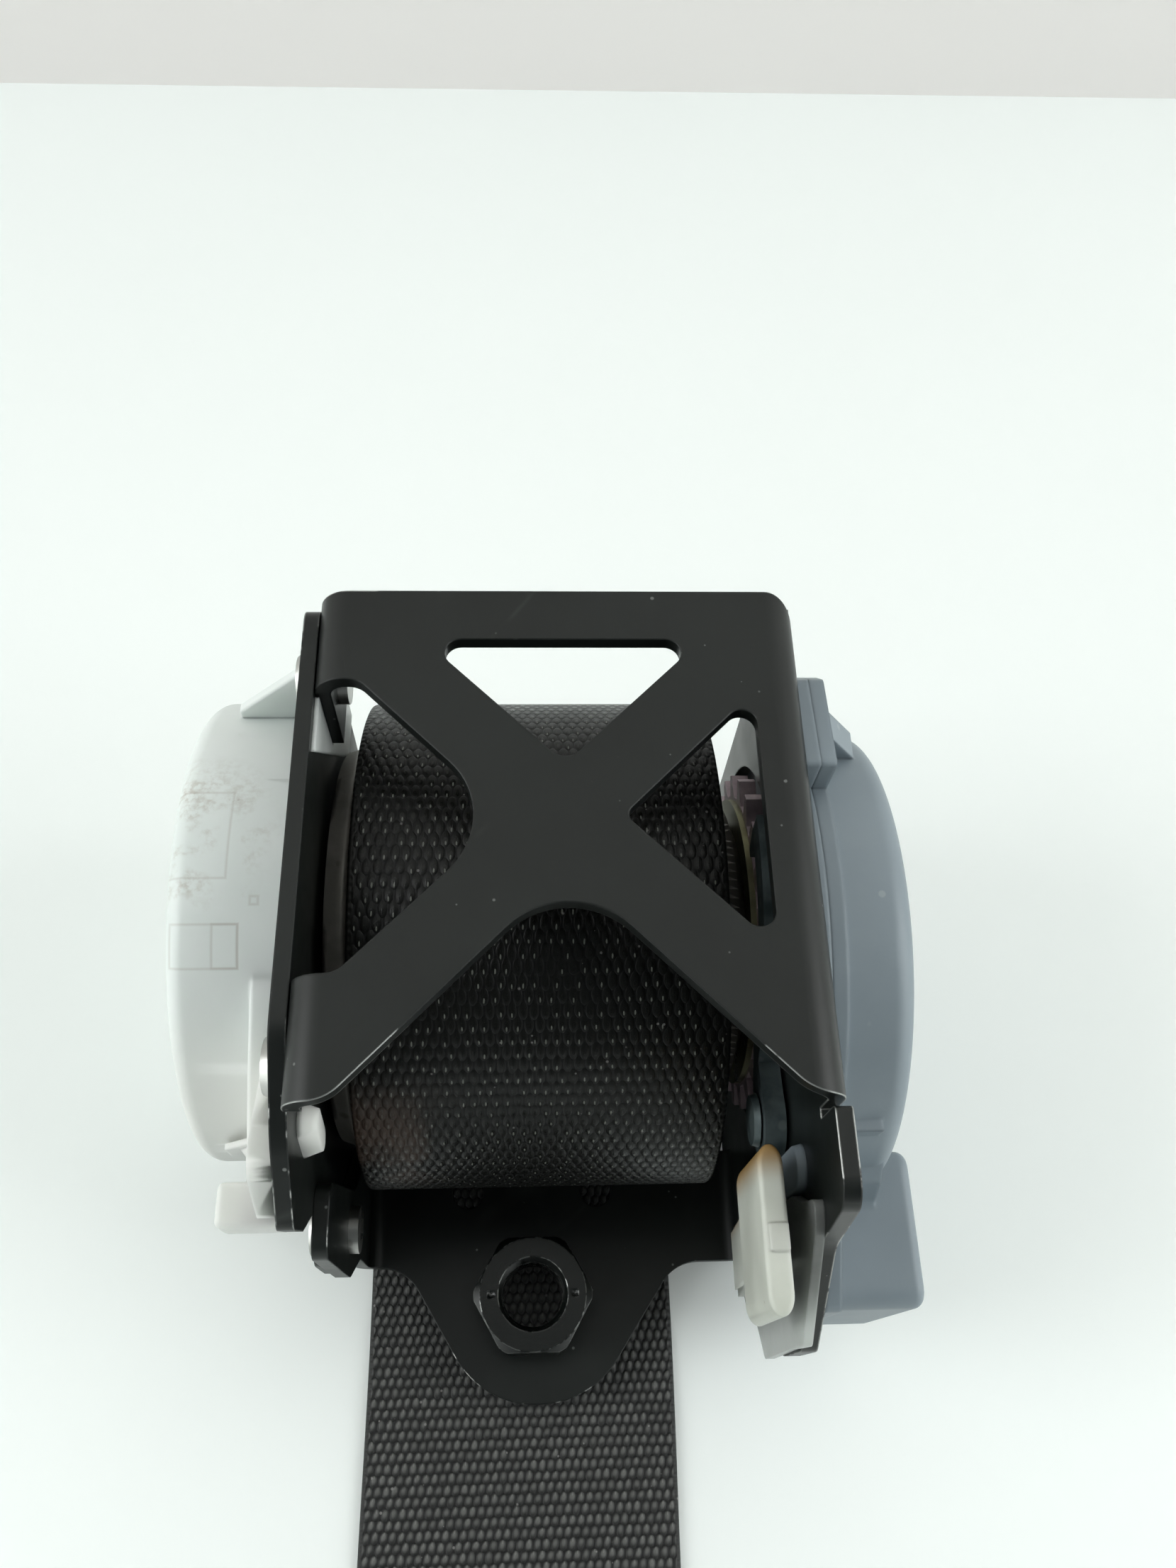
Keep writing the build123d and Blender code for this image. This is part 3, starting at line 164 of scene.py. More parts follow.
def makeScratches():
    # thin curved scratch lines, cut out of the contour of a stretched noise
    tree, given, out = newGroup(
        "scratches", [("Mask", "Float")], scale=60.0, turn=0.6, width=0.01, share=0.45,
    )
    turned = shaderNode(
        tree, "VectorRotate", {"Vector": given["Place"], "Angle": given["Turn"]}, rotation_type="Z_AXIS",
    ).outputs[0]
    long = vectorCalc(tree, "MULTIPLY", turned, (1.0, 0.16, 1.0))[0]
    off = calc(tree, "ABSOLUTE", calc(tree, "SUBTRACT", noise(tree, long, given["Scale"], 1.5), 0.5))
    line = calc(tree, "SUBTRACT", 1.0, calc(tree, "DIVIDE", off, given["Width"]), clamp=True)
    where = noise(tree, turned, calc(tree, "MULTIPLY", given["Scale"], 1.3), 2.0)
    low, high = (calc(tree, "SUBTRACT", limit, given["Share"]) for limit in (1.0, 1.1))
    tree.links.new(calc(tree, "MULTIPLY", line, ramp(tree, where, low, high)), out["Mask"])
    return tree


def makeGrain():
    # fine surface grain for the height, and slow cloudy change for the colour
    tree, given, out = newGroup("grain", [("Height", "Float"), ("Tone", "Float")], fine=1500.0, cloud=60.0)
    tree.links.new(noise(tree, given["Place"], given["Fine"], 3.0, 0.6), out["Height"])
    tree.links.new(ramp(tree, noise(tree, given["Place"], given["Cloud"], 4.0, 0.55), 0.3, 0.7), out["Tone"])
    return tree


def makeWeave():
    # belt webbing: oval crowns in rows that step by half a rib, with painted shade in the dark slits between them and
    # painted sheen and short painted glints on the crowns;
    # its place is the belt's own map, in millimetres across and along
    tree, given, out = newGroup(
        "weave", [(label, "Float") for label in ("Height", "Slit", "Crown", "Glint", "Thread")],
        column=1.4, row=2.05, halfWidth=23.5, crownWidth=0.43, crownLength=0.6, lean=0.1,
    )
    apart = shaderNode(tree, "SeparateXYZ", {0: given["Place"]})
    across, along = apart.outputs[0], apart.outputs[1]
    wobble = noise(tree, given["Place"], 0.5, 2.0)
    jitter = calc(tree, "MULTIPLY", calc(tree, "SUBTRACT", wobble, 0.5), 0.7)
    row = calc(tree, "DIVIDE", calc(tree, "ADD", along, jitter), calc(tree, "MULTIPLY", given["Row"], 2.0))
    column = calc(tree, "ADD", across, calc(tree, "MULTIPLY", jitter, 0.3))
    column = calc(tree, "DIVIDE", column, given["Column"])
    domes, sheenedCrowns, paintedGlints = [], [], []
    for shift in (0.0, 0.5):
        rowHere, columnHere = calc(tree, "ADD", row, shift), calc(tree, "ADD", column, shift)
        y = calc(tree, "SUBTRACT", calc(tree, "FRACT", rowHere), 0.5)
        y = calc(tree, "MULTIPLY", y, 2.0)
        x = calc(tree, "SUBTRACT", calc(tree, "FRACT", columnHere), 0.5)
        x = calc(tree, "MULTIPLY_ADD", y, given["Lean"], x)
        wide, tall = squaredShare(tree, x, given["Crown Width"]), squaredShare(tree, y, given["Crown Length"])
        dome = insideOval(tree, wide, tall)
        corner = {0: calc(tree, "FLOOR", columnHere), 1: calc(tree, "FLOOR", rowHere), 2: shift}
        cell = shaderNode(tree, "CombineXYZ", corner).outputs[0]
        chance = shaderNode(tree, "TexWhiteNoise", {"Vector": cell}, noise_dimensions="3D").outputs["Value"]
        # each crown has its own tone, and a painted sheen that is paler at its lit end
        own = calc(tree, "MULTIPLY_ADD", chance, 0.28, 0.72)
        tone = calc(tree, "MULTIPLY", own, calc(tree, "MULTIPLY_ADD", y, -0.6, 0.75))
        # a painted highlight: a short bright glint near that end of most crowns
        paintedSpark = insideOval(tree, squaredShare(tree, x, 0.09), squaredShare(tree, calc(tree, "ADD", y, 0.3), 0.2))
        domes.append(dome)
        sheenedCrowns.append(calc(tree, "MULTIPLY", dome, tone))
        paintedGlints.append(calc(tree, "MULTIPLY", paintedSpark, calc(tree, "GREATER_THAN", chance, 0.4)))
    top, pale, glint = (calc(tree, "MAXIMUM", *both) for both in (domes, sheenedCrowns, paintedGlints))
    fibre = vectorCalc(tree, "MULTIPLY", given["Place"], (9.0, 0.7, 1.0))[0]
    thread = noise(tree, fibre, 1.0, 2.0)
    body = calc(tree, "ADD", calc(tree, "POWER", top, 0.6), calc(tree, "MULTIPLY", thread, 0.3))
    # the two selvedges are plain close rows
    selvedgeRow = 1.02
    inward = calc(tree, "SUBTRACT", given["Half Width"], calc(tree, "ABSOLUTE", across))
    edge = ramp(tree, inward, 0.9, 0.5)
    wave = calc(tree, "COSINE", calc(tree, "MULTIPLY", along, 2 * math.pi / selvedgeRow))
    close = calc(tree, "MULTIPLY_ADD", wave, 0.2, 0.6)
    mixed = shaderNode(tree, "Mix", {0: edge, 2: body, 3: close}, data_type="FLOAT")
    away = calc(tree, "SUBTRACT", 1.0, edge)
    tree.links.new(mixed.outputs[0], out["Height"])
    # the slit mask gives painted shade, the crown mask the crowns' own tone with painted sheen, the glint mask
    # painted highlights
    limits = {"Slit": (top, 0.26, 0.02), "Crown": (pale, 0.2, 0.75), "Glint": (glint, 0.0, 0.6)}
    for label, (value, low, high) in limits.items():
        tree.links.new(calc(tree, "MULTIPLY", ramp(tree, value, low, high), away), out[label])
    tree.links.new(thread, out["Thread"])
    return tree


def makeMouldLine():
    # a fine rectangular line on the round of the spring cover: across is along the spool, round is
    # millimetres of arc from the rear
    tree, given, out = newGroup(
        "mouldLine", [("Mask", "Float")],
        across=0.0, round=0.0, halfAcross=1.0, halfRound=1.0, width=0.25, radius=33.0,
    )
    about = vectorCalc(tree, "SUBTRACT", given["Place"], tuple(at(0.0, *coverMiddle)))[0]
    apart = shaderNode(tree, "SeparateXYZ", {0: about}).outputs
    x = calc(tree, "MULTIPLY", apart[0], 1000.0)
    arc = calc(tree, "MULTIPLY", calc(tree, "ARCTAN2", apart[2], apart[1]), given["Radius"])
    beyond = []
    for value, middle, half in ((x, "Across", "Half Across"), (arc, "Round", "Half Round")):
        off = calc(tree, "ABSOLUTE", calc(tree, "SUBTRACT", value, given[middle]))
        beyond.append(calc(tree, "SUBTRACT", off, given[half]))
    away = calc(tree, "ABSOLUTE", calc(tree, "MAXIMUM", *beyond))
    line = calc(tree, "SUBTRACT", 1.0, calc(tree, "DIVIDE", away, given["Width"]), clamp=True)
    tree.links.new(line, out["Mask"])
    return tree


edgeWear = makeEdgeWear()
specks = makeSpecks()
scratches = makeScratches()
grain = makeGrain()
weave = makeWeave()
mouldLine = makeMouldLine()
print("shared effects built")


# materials
def newMaterial(name):
    material = bpy.data.materials.new(name)
    material.use_nodes = True
    tree = material.node_tree
    tree.nodes.clear()
    shader = shaderNode(tree, "BsdfPrincipled")
    output = tree.nodes.new("ShaderNodeOutputMaterial")
    tree.links.new(shader.outputs[0], output.inputs[0])
    place = shaderNode(tree, "TexCoord").outputs["Object"]
    return material, tree, shader, place


def color4(rgb):
    return (rgb[0], rgb[1], rgb[2], 1.0)


def tinted(tree, mask, share, base, color):
    return blendColor(tree, calc(tree, "MULTIPLY", mask, share), base, color4(color))


def nearSpot(tree, place, spotAt, far, near, most=1.0):
    away = vectorCalc(tree, "DISTANCE", place, spotAt)["Value"]
    return ramp(tree, away, far, near, 0.0, most)


def grainedColor(tree, place, look):
    grained = useGroup(tree, grain, place, fine=look["fine"], cloud=look["cloud"])
    base = blendColor(tree, grained["Tone"], color4(look["dark"]), color4(look["light"]))
    return grained, base


def specked(tree, place, look, size, strength, base, color):
    dust = useGroup(tree, specks, place, scale=look["speckScale"], share=look["speckShare"], size=size)
    return tinted(tree, dust["Mask"], strength, base, color)


def setSurface(tree, shader, look, base, tone, bump, depth=0.0001):
    # the colour, the roughness between its two ends, and the bump
    tree.links.new(base, shader.inputs["Base Color"])
    rough = ramp(tree, tone, 0.0, 1.0, *look["rough"], smooth=False)
    tree.links.new(rough, shader.inputs["Roughness"])
    raised = shaderNode(tree, "Bump", {"Strength": look["bump"], "Distance": depth, **bump})
    tree.links.new(raised.outputs[0], shader.inputs["Normal"])


def coatedSteel(name, look):
    material, tree, shader, place = newMaterial(name)
    grained, base = grainedColor(tree, place, look)
    lines = useGroup(tree, scratches, place, scale=look["scratchScale"], share=look["scratchShare"])
    base = tinted(tree, lines["Mask"], 0.3, base, look["scratchColor"])
    base = specked(tree, place, look, 0.22, 0.6, base, look["speckColor"])
    reach = look["wear"]
    for spotAt, far, more in look["chips"]:
        # places that were rubbed or bent have lost more of their coat
        reach = calc(tree, "ADD", reach, nearSpot(tree, place, spotAt, far, far * 0.4, more))
    worn = useGroup(tree, edgeWear, place, radius=look["wearRadius"], reach=reach, breakup=look["breakup"])
    base = blendColor(tree, worn["Mask"], base, color4(look["metal"]))
    tree.links.new(worn["Mask"], shader.inputs["Metallic"])
    shader.inputs["Specular IOR Level"].default_value = look["shine"]
    bump = {"Height": grained["Height"], "Normal": worn["Soft Normal"]}
    setSurface(tree, shader, look, base, grained["Tone"], bump)
    return material


def bareMetal(name, look):
    material, tree, shader, place = newMaterial(name)
    look = {"speckScale": 500.0, "speckShare": 0.12, **look}
    grained, base = grainedColor(tree, place, look)
    base = specked(tree, place, look, 0.4, 0.5, base, look["stain"])
    shader.inputs["Metallic"].default_value = look["metallic"]
    setSurface(tree, shader, look, base, grained["Tone"], {"Height": grained["Height"]})
    return material


def mouldedPlastic(name, look):
    material, tree, shader, place = newMaterial(name)
    look = {"speckScale": 450.0, "speckShare": 0.06, "round": 0.00035, "lines": (), **look}
    grained, base = grainedColor(tree, place, look)
    if "smudge" in look:
        # brown handling dust, gathered round one spot
        near = nearSpot(tree, place, look["smudgeAt"], look["smudgeReach"], look["smudgeReach"] * 0.3)
        dusty = useGroup(tree, grain, place, fine=1100.0, cloud=210.0)
        fleck = ramp(tree, dusty["Height"], 0.36, 0.7)
        patch = calc(tree, "MULTIPLY", ramp(tree, dusty["Tone"], 0.3, 1.0), fleck)
        amount = calc(tree, "MULTIPLY", near, patch)
        base = tinted(tree, amount, look["smudgeMost"], base, look["smudge"])
    if "fade" in look:
        # one end has a warmer or paler tone
        apart = shaderNode(tree, "SeparateXYZ", {0: place})
        share = ramp(tree, apart.outputs["Y"], look["fadeFrom"], look["fadeTo"])
        base = blendColor(tree, share, base, color4(look["fade"]))
    base = specked(tree, place, look, 0.25, 0.4, base, look["speckColor"])
    height = grained["Height"]
    for across, around, halfAcross, halfRound in look["lines"]:
        line = useGroup(
            tree, mouldLine, place, across=across, round=around, halfAcross=halfAcross, halfRound=halfRound,
        )["Mask"]
        height = calc(tree, "MULTIPLY_ADD", line, look["lineHeight"], height)
        base = tinted(tree, line, 0.3, base, look["speckColor"])
    if "glow" in look:
        shader.inputs["Subsurface Weight"].default_value = look["glow"]
        shader.inputs["Subsurface Radius"].default_value = (0.9, 1.0, 0.9)
        shader.inputs["Subsurface Scale"].default_value = 0.003
    soft = shaderNode(tree, "Bevel", {"Radius": look["round"]}, samples=4).outputs[0]
    setSurface(tree, shader, look, base, grained["Tone"], {"Height": height, "Normal": soft})
    return material


def wovenBelt(name, look):
    material, tree, shader, place = newMaterial(name)
    cloth = shaderNode(tree, "UVMap", uv_map="UVMap").outputs[0]
    sizes = {key: look[key] for key in ("column", "row", "lean", "crownWidth", "crownLength")}
    rib = useGroup(tree, weave, cloth, **sizes)
    grained, base = grainedColor(tree, place, look)
    base = tinted(tree, rib["Thread"], 0.5, base, look["thread"])
    # painted sheen on the crowns, painted shade in the slits and painted highlights of the glints, tinted into the
    # colour
    for label in ("Crown", "Slit", "Glint"):
        base = tinted(tree, rib[label], look[label.lower() + "Share"], base, look[label.lower()])
    if "stain" in look:
        near = nearSpot(tree, place, look["stainAt"], look["stainReach"], look["stainReach"] * 0.15)
        patch = calc(tree, "MULTIPLY", near, ramp(tree, grained["Tone"], 0.2, 0.9))
        base = tinted(tree, patch, 0.75, base, look["stain"])
    base = specked(tree, place, look, 0.25, 0.5, base, look["lint"])
    shader.inputs["Specular IOR Level"].default_value = look["shine"]
    setSurface(tree, shader, look, base, rib["Crown"], {"Height": rib["Height"]}, depth=0.0003)
    return material


blackCoat = dict(
    dark=(0.0034, 0.0046, 0.0040), light=(0.0066, 0.0084, 0.0074), fine=1800.0, cloud=45.0,
    metal=(0.55, 0.56, 0.54), wear=0.28, wearRadius=0.00035, breakup=520.0,
    scratchColor=(0.05, 0.055, 0.05), scratchScale=45.0, scratchShare=0.42,
    speckColor=(0.22, 0.23, 0.22), speckScale=950.0, speckShare=0.03,
    rough=(0.30, 0.42), bump=0.07, shine=0.42,
    chips=(
        (at(-22, -33, 44), 0.013, 0.42), (at(29, -34, 43), 0.012, 0.40), (at(32, -50, 20), 0.022, 0.34),
        (at(-26, 31, 44), 0.010, 0.30), (at(-30, -43, 25), 0.012, 0.25), (at(0, -58, -31), 0.026, 0.14),
    ),
)
nutLook = dict(blackCoat, wear=0.42, breakup=900.0, wearRadius=0.0003, rough=(0.24, 0.34))
milkyLook = dict(
    dark=(0.75, 0.80, 0.775), light=(0.82, 0.86, 0.835), fine=700.0, cloud=40.0,
    rough=(0.36, 0.5), bump=0.06, glow=0.3, round=0.0005,
    speckColor=(0.35, 0.3, 0.25), speckShare=0.02,
    smudge=(0.36, 0.29, 0.22), smudgeAt=at(-44, 3, 33), smudgeReach=0.014, smudgeMost=0.55,
    fade=(0.76, 0.765, 0.73), fadeFrom=at(0, -14, 0)[1], fadeTo=at(0, -30, 0)[1],
    lines=(
        (-41.05, 65.8, 4.15, 2.7), (-38.45, 65.8, 1.55, 2.7), (-44.6, 51.5, 6.0, 5.9), (-35.0, 60.2, 0.5, 0.5),
    ),
    lineHeight=-2.5,
)
greyLook = dict(
    dark=(0.215, 0.257, 0.288), light=(0.247, 0.291, 0.323), fine=1200.0, cloud=50.0,
    rough=(0.40, 0.5), bump=0.08, round=0.0006, speckColor=(0.4, 0.43, 0.45), speckShare=0.03,
)
ivoryDiscLook = dict(
    dark=(0.52, 0.535, 0.475), light=(0.60, 0.615, 0.555), fine=900.0, cloud=90.0,
    rough=(0.34, 0.45), bump=0.04, glow=0.15, round=0.0005, speckColor=(0.2, 0.16, 0.1), speckShare=0.03,
)
ivoryLook = dict(
    ivoryDiscLook, fade=(0.33, 0.20, 0.07), fadeFrom=at(0, -41, 0)[1], fadeTo=at(0, -37, 0)[1],
)
clearGreyLook = dict(
    dark=(0.11, 0.115, 0.11), light=(0.17, 0.175, 0.17), fine=900.0, cloud=200.0,
    rough=(0.3, 0.42), bump=0.04, glow=0.2, speckColor=(0.4, 0.4, 0.4), speckShare=0.04,
    fade=(0.46, 0.48, 0.46), fadeFrom=at(0, -50, 0)[1], fadeTo=at(0, -56, 0)[1],
)
bushLook = dict(
    dark=(0.55, 0.54, 0.5), light=(0.62, 0.6, 0.56), fine=900.0, cloud=90.0,
    rough=(0.35, 0.45), bump=0.03, speckColor=(0.3, 0.3, 0.3),
)
blackPlasticLook = dict(
    dark=(0.008, 0.008, 0.009), light=(0.013, 0.013, 0.014), fine=1400.0, cloud=80.0,
    rough=(0.38, 0.5), bump=0.18, speckColor=(0.12, 0.12, 0.12), speckShare=0.03,
)
bandLook = dict(
    dark=(0.012, 0.012, 0.013), light=(0.018, 0.018, 0.019), fine=2600.0, cloud=160.0,
    rough=(0.6, 0.72), bump=0.3, speckColor=(0.12, 0.12, 0.12),
)
bareSteelLook = dict(
    dark=(0.42, 0.42, 0.40), light=(0.55, 0.55, 0.53), stain=(0.2, 0.19, 0.17), fine=1600.0, cloud=150.0,
    metallic=1.0, rough=(0.26, 0.4), bump=0.1,
)
castLook = dict(
    dark=(0.20, 0.19, 0.17), light=(0.30, 0.28, 0.255), stain=(0.10, 0.08, 0.065), fine=900.0, cloud=120.0,
    metallic=0.35, rough=(0.42, 0.58), bump=0.4,
)
pinkZincLook = dict(
    dark=(0.50, 0.39, 0.43), light=(0.70, 0.58, 0.61), stain=(0.28, 0.21, 0.23), fine=900.0, cloud=260.0,
    metallic=0.35, rough=(0.38, 0.55), bump=0.5, speckShare=0.3,
)
yellowZincLook = dict(
    dark=(0.17, 0.155, 0.09), light=(0.33, 0.32, 0.19), stain=(0.10, 0.11, 0.06), fine=1200.0, cloud=180.0,
    metallic=0.95, rough=(0.25, 0.4), bump=0.1,
)
pawlLook = dict(
    dark=(0.055, 0.075, 0.078), light=(0.12, 0.15, 0.155), stain=(0.22, 0.25, 0.25), fine=1000.0, cloud=260.0,
    metallic=0.55, rough=(0.3, 0.45), bump=0.4,
)
springLook = dict(
    dark=(0.10, 0.11, 0.13), light=(0.18, 0.19, 0.21), stain=(0.08, 0.06, 0.05), fine=1500.0, cloud=160.0,
    metallic=1.0, rough=(0.25, 0.35), bump=0.05,
)
platedLook = dict(
    dark=(0.50, 0.50, 0.50), light=(0.62, 0.62, 0.61), stain=(0.35, 0.34, 0.33), fine=1900.0, cloud=90.0,
    metallic=1.0, rough=(0.14, 0.24), bump=0.04, speckShare=0.03,
)
tailLook = dict(
    dark=(0.0085, 0.0088, 0.0084), light=(0.014, 0.0144, 0.0136), fine=900.0, cloud=70.0,
    # crown colour is painted sheen on the crowns, slit colour painted shade in the slits, glint colour painted
    # highlights
    thread=(0.024, 0.0245, 0.023), crown=(0.125, 0.127, 0.119), crownShare=0.8,
    slit=(0.0015, 0.0015, 0.0015), slitShare=1.0, glint=(0.22, 0.22, 0.21), glintShare=0.35,
    lint=(0.30, 0.29, 0.28), speckScale=1300.0, speckShare=0.03,
    column=1.28, row=1.46, lean=0.16, crownWidth=0.43, crownLength=0.62, rough=(0.55, 0.34), bump=0.8, shine=0.35,
)
rollLook = dict(
    tailLook, dark=(0.0016, 0.0018, 0.0013), light=(0.0028, 0.0031, 0.0023), thread=(0.0052, 0.0054, 0.0043),
    # on the roll too the crown colour is painted sheen, the slit colour painted shade and the glint colour painted
    # highlights
    crown=(0.020, 0.0205, 0.018), crownShare=0.22, glint=(0.26, 0.27, 0.24), glintShare=0.6,
    stain=(0.07, 0.045, 0.034), stainAt=at(-21, -33, 13), stainReach=0.016,
    column=1.36, row=1.75, lean=0.0, rough=(0.4, 0.2), bump=0.45, shine=0.26,
)

milkyPlastic = mouldedPlastic("milkyPlastic", milkyLook)
ivoryPlastic = mouldedPlastic("ivoryPlastic", ivoryLook)
spoolMetal = bareMetal("castMetal", castLook)
nutCoat = coatedSteel("nutCoat", nutLook)
finishes = {
    coatedSteel("blackCoat", blackCoat): ("frame", "left_side_plate"),
    nutCoat: ("anchor_nut",),
    bareMetal("rivetSteel", bareSteelLook): ("side_plate_rivets", "lever_pin"),
    bareMetal("groundSteel", dict(bareSteelLook, rough=(0.16, 0.26))): ("torsion_bar", "sensor_ball"),
    milkyPlastic: ("spring_cover", "spring_plate", "spring_arbor"),
    mouldedPlastic("greyPlastic", greyLook): ("mechanism_cover", "mechanism_base", "base_peg"),
    ivoryPlastic: ("sensor_cartridge",),
    mouldedPlastic("ivoryDisc", ivoryDiscLook): ("steering_disc",),
    mouldedPlastic("clearGreyPlastic", clearGreyLook): ("sensor_bracket",),
    mouldedPlastic("bushPlastic", bushLook): ("left_bush", "right_bush"),
    mouldedPlastic("blackPlastic", blackPlasticLook): ("sensor_lever", "tongue_grip", "stop_button"),
    mouldedPlastic("bandElastic", bandLook): ("hank_band",),
    spoolMetal: ("spool", "inertia_mass"),
    bareMetal("pinkZinc", pinkZincLook): ("ratchet_wheel",),
    bareMetal("yellowZinc", yellowZincLook): ("guide_disc",),
    bareMetal("pawlSteel", pawlLook): ("locking_pawl", "pawl_pin"),
    bareMetal("springStrip", springLook): ("mainspring",),
    bareMetal("platedSteel", platedLook): ("latch_tongue", "end_anchor_plate"),
}
tailCloth = wovenBelt("tailCloth", tailLook)
rollCloth = wovenBelt("rollCloth", rollLook)
for finish, nodes in finishes.items():
    for name in nodes:
        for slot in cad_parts[name].material_slots:
            slot.material = finish
print("materials given to the packed nodes")


# pieces
def newPiece(name, mesh, material, body, slot, *nodes):
    piece = bpy.data.objects.new(name, mesh)
    bpy.context.scene.collection.objects.link(piece)
    mesh.materials.clear()
    mesh.materials.append(material)
    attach(piece, body)
    if nodes:
        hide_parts(*nodes)
    return piece


def runTree(tree, values):
    # runs a tree on a throwaway object and hands back the plain mesh
    holder = bpy.data.objects.new("holder", bpy.data.meshes.new("holder"))
    bpy.context.scene.collection.objects.link(holder)
    modifier = holder.modifiers.new("build", "NODES")
    modifier.node_group = tree
    for item in tree.interface.items_tree:
        if item.item_type == "SOCKET" and item.in_out == "INPUT" and item.name in values:
            modifier[item.identifier] = values[item.name]
    graph = bpy.context.evaluated_depsgraph_get()
    graph.update()
    mesh = bpy.data.meshes.new_from_object(holder.evaluated_get(graph), depsgraph=graph)
    bpy.data.objects.remove(holder)
    return mesh


def smoothMesh(mesh, angle):
    mesh.shade_smooth()
    mesh.set_sharp_from_angle(angle=math.radians(angle))


def evenNormals(piece):
    # large flat faces keep their own direction beside narrow fillets
    evened = piece.modifiers.new("even", "WEIGHTED_NORMAL")
    evened.mode = "FACE_AREA"
    evened.weight = 100
    evened.keep_sharp = True


def reshapedNode(name, rule):
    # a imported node's mesh with its points moved by a rule in millimetres about the spool's axis
    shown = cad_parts[name]
    work = bmesh.new()
    work.from_mesh(shown.data)
    work.transform(shown.matrix_world)
    bmesh.ops.remove_doubles(work, verts=work.verts, dist=2e-6)
    for vert in work.verts:
        x, y, z = (co * 1000 - middle for co, middle in zip(vert.co, spoolAt))
        vert.co = at(*rule(x, y, z))
    return work


def addPrism(work, axis, corners, low, high, edge=0.0):
    # an outline of two coordinates drawn out along the third, with rounded edges
    order = {"x": (2, 0, 1), "y": (0, 2, 1), "z": (0, 1, 2)}[axis]
    rings = [[work.verts.new(at(*((a, b, c)[k] for k in order))) for a, b in corners] for c in (low, high)]
    count = len(corners)
    faces = [work.faces.new(rings[0]), work.faces.new(list(reversed(rings[1])))]
    for k in range(count):
        n = (k + 1) % count
        faces.append(work.faces.new((rings[0][n], rings[0][k], rings[1][k], rings[1][n])))
    bmesh.ops.recalc_face_normals(work, faces=faces)
    if edge:
        rim = list({line for face in faces for line in face.edges})
        bmesh.ops.bevel(
            work, geom=rim, offset=edge / 1000, segments=3, profile=0.5, affect="EDGES", clamp_overlap=True,
        )


def finishMesh(work, name, angle=32):
    made = bpy.data.meshes.new(name)
    work.to_mesh(made)
    work.free()
    smoothMesh(made, angle)
    return made


# the spring cover with its arm down the side plate, the foot at the end of it and the webs beside it
coverSizes = dict(
    middle=coverMiddle, radius=33.0, face=-30.0, flange=-33.0, sink=0.02,
    arm=(
        (-8.0, 29.6), (-16.0, 28.8), (-25.5, 25.6), (-36.5, 20.8), (-42.0, 21.0), (-42.0, 15.5), (-36.0, 13.0),
        (-27.0, 8.0), (-18.0, 10.0),
    ),
    armDepth=5.4, armEdge=0.5,
    foot=((-37.2, 15.4), (-37.2, 21.2), (-42.6, 21.2), (-42.6, 15.4)), footDepth=8.7, footEdge=0.9,
    gusset=((-30.1, 22.0), (-30.1, 36.9), (-31.4, 36.9), (-40.6, 27.4), (-40.6, 22.0)), gussetY=(23.6, 25.0),
    guide=((10.2, 41.0), (17.9, 41.0), (17.9, 28.2), (30.8, 28.2), (30.8, 14.0), (24.2, 14.0), (21.4, 18.6)),
    guideX=(-27.98, -27.45),
    web=((-35.0, 14.0), (-41.2, 8.0), (-41.2, 4.0), (-35.0, 4.0)), webY=(-30.2, -31.1),
    # the solid's tabs: the rear one ends at the round, and the front one is drawn in under the arm
    rearTab=(5, 20), frontTab=(-26, -8, 22.5), tabStart=-31.0, tabRun=5.0, tabPull=2.0, tabTop=21.0, tabFlat=0.8,
)


def coverRule(x, y, z):
    s = coverSizes
    dy, dz = y - s["middle"][0], z - s["middle"][1]
    far = math.hypot(dy, dz)
    if x > s["face"] + 0.05 or far < s["radius"] + 0.02:
        return x, y, z
    if y > s["rearTab"][0] and z > s["rearTab"][1]:
        shrink = (s["radius"] - 0.1) / far
        return x, s["middle"][0] + dy * shrink, s["middle"][1] + dz * shrink
    front, low, high = s["frontTab"]
    if y < front and low < z < high:
        share = min(1.0, max(0.0, (s["tabStart"] - y) / s["tabRun"]))
        flat = 1 - s["tabFlat"] * share
        return max(x, s["flange"]), y + s["tabPull"] * share, s["tabTop"] - (s["tabTop"] - z) * flat
    return x, y, z


coverWork = reshapedNode("spring_cover", coverRule)
for part in ("arm", "foot"):
    near, far = coverSizes["face"] - coverSizes["sink"], coverSizes["face"] - coverSizes[part + "Depth"]
    addPrism(coverWork, "x", coverSizes[part], near, far, coverSizes[part + "Edge"])
addPrism(coverWork, "y", coverSizes["gusset"], *coverSizes["gussetY"], 0.3)
addPrism(coverWork, "y", coverSizes["web"], *coverSizes["webY"], 0.2)
# its inner guide shows between the side plate and the roll
addPrism(coverWork, "x", coverSizes["guide"], *coverSizes["guideX"])
springCover = newPiece(
    "springCover", finishMesh(coverWork, "springCover"), milkyPlastic, "base", "white_moulding", "spring_cover",
)
evenNormals(springCover)

# the sensor housing, narrower and shallower than its solid; left edge and width, then top and depth
housingSizes = dict(
    solid=((25.1, 4.7), (34.0, 24.0)), shown=((24.1, 2.9), (34.0, 16.0)), floor=9.5, side=30.3, link=(27.8, 1.9),
    boss=((24.7, -45.0), (26.9, -45.0), (26.9, -47.9), (24.7, -47.9)), bossZ=(33.0, 34.45), bossEdge=0.2,
)


def housingRule(x, y, z):
    s = housingSizes
    (left, wide), (top, deep) = s["solid"]
    (newLeft, newWide), (newTop, newDeep) = s["shown"]
    if x >= s["side"]:
        return x, y, z
    if z > s["floor"]:
        return newLeft + (x - left) * newWide / wide, y, newTop - (top - z) * newDeep / deep
    return s["link"][0] + (x - left) * s["link"][1] / wide, y, z


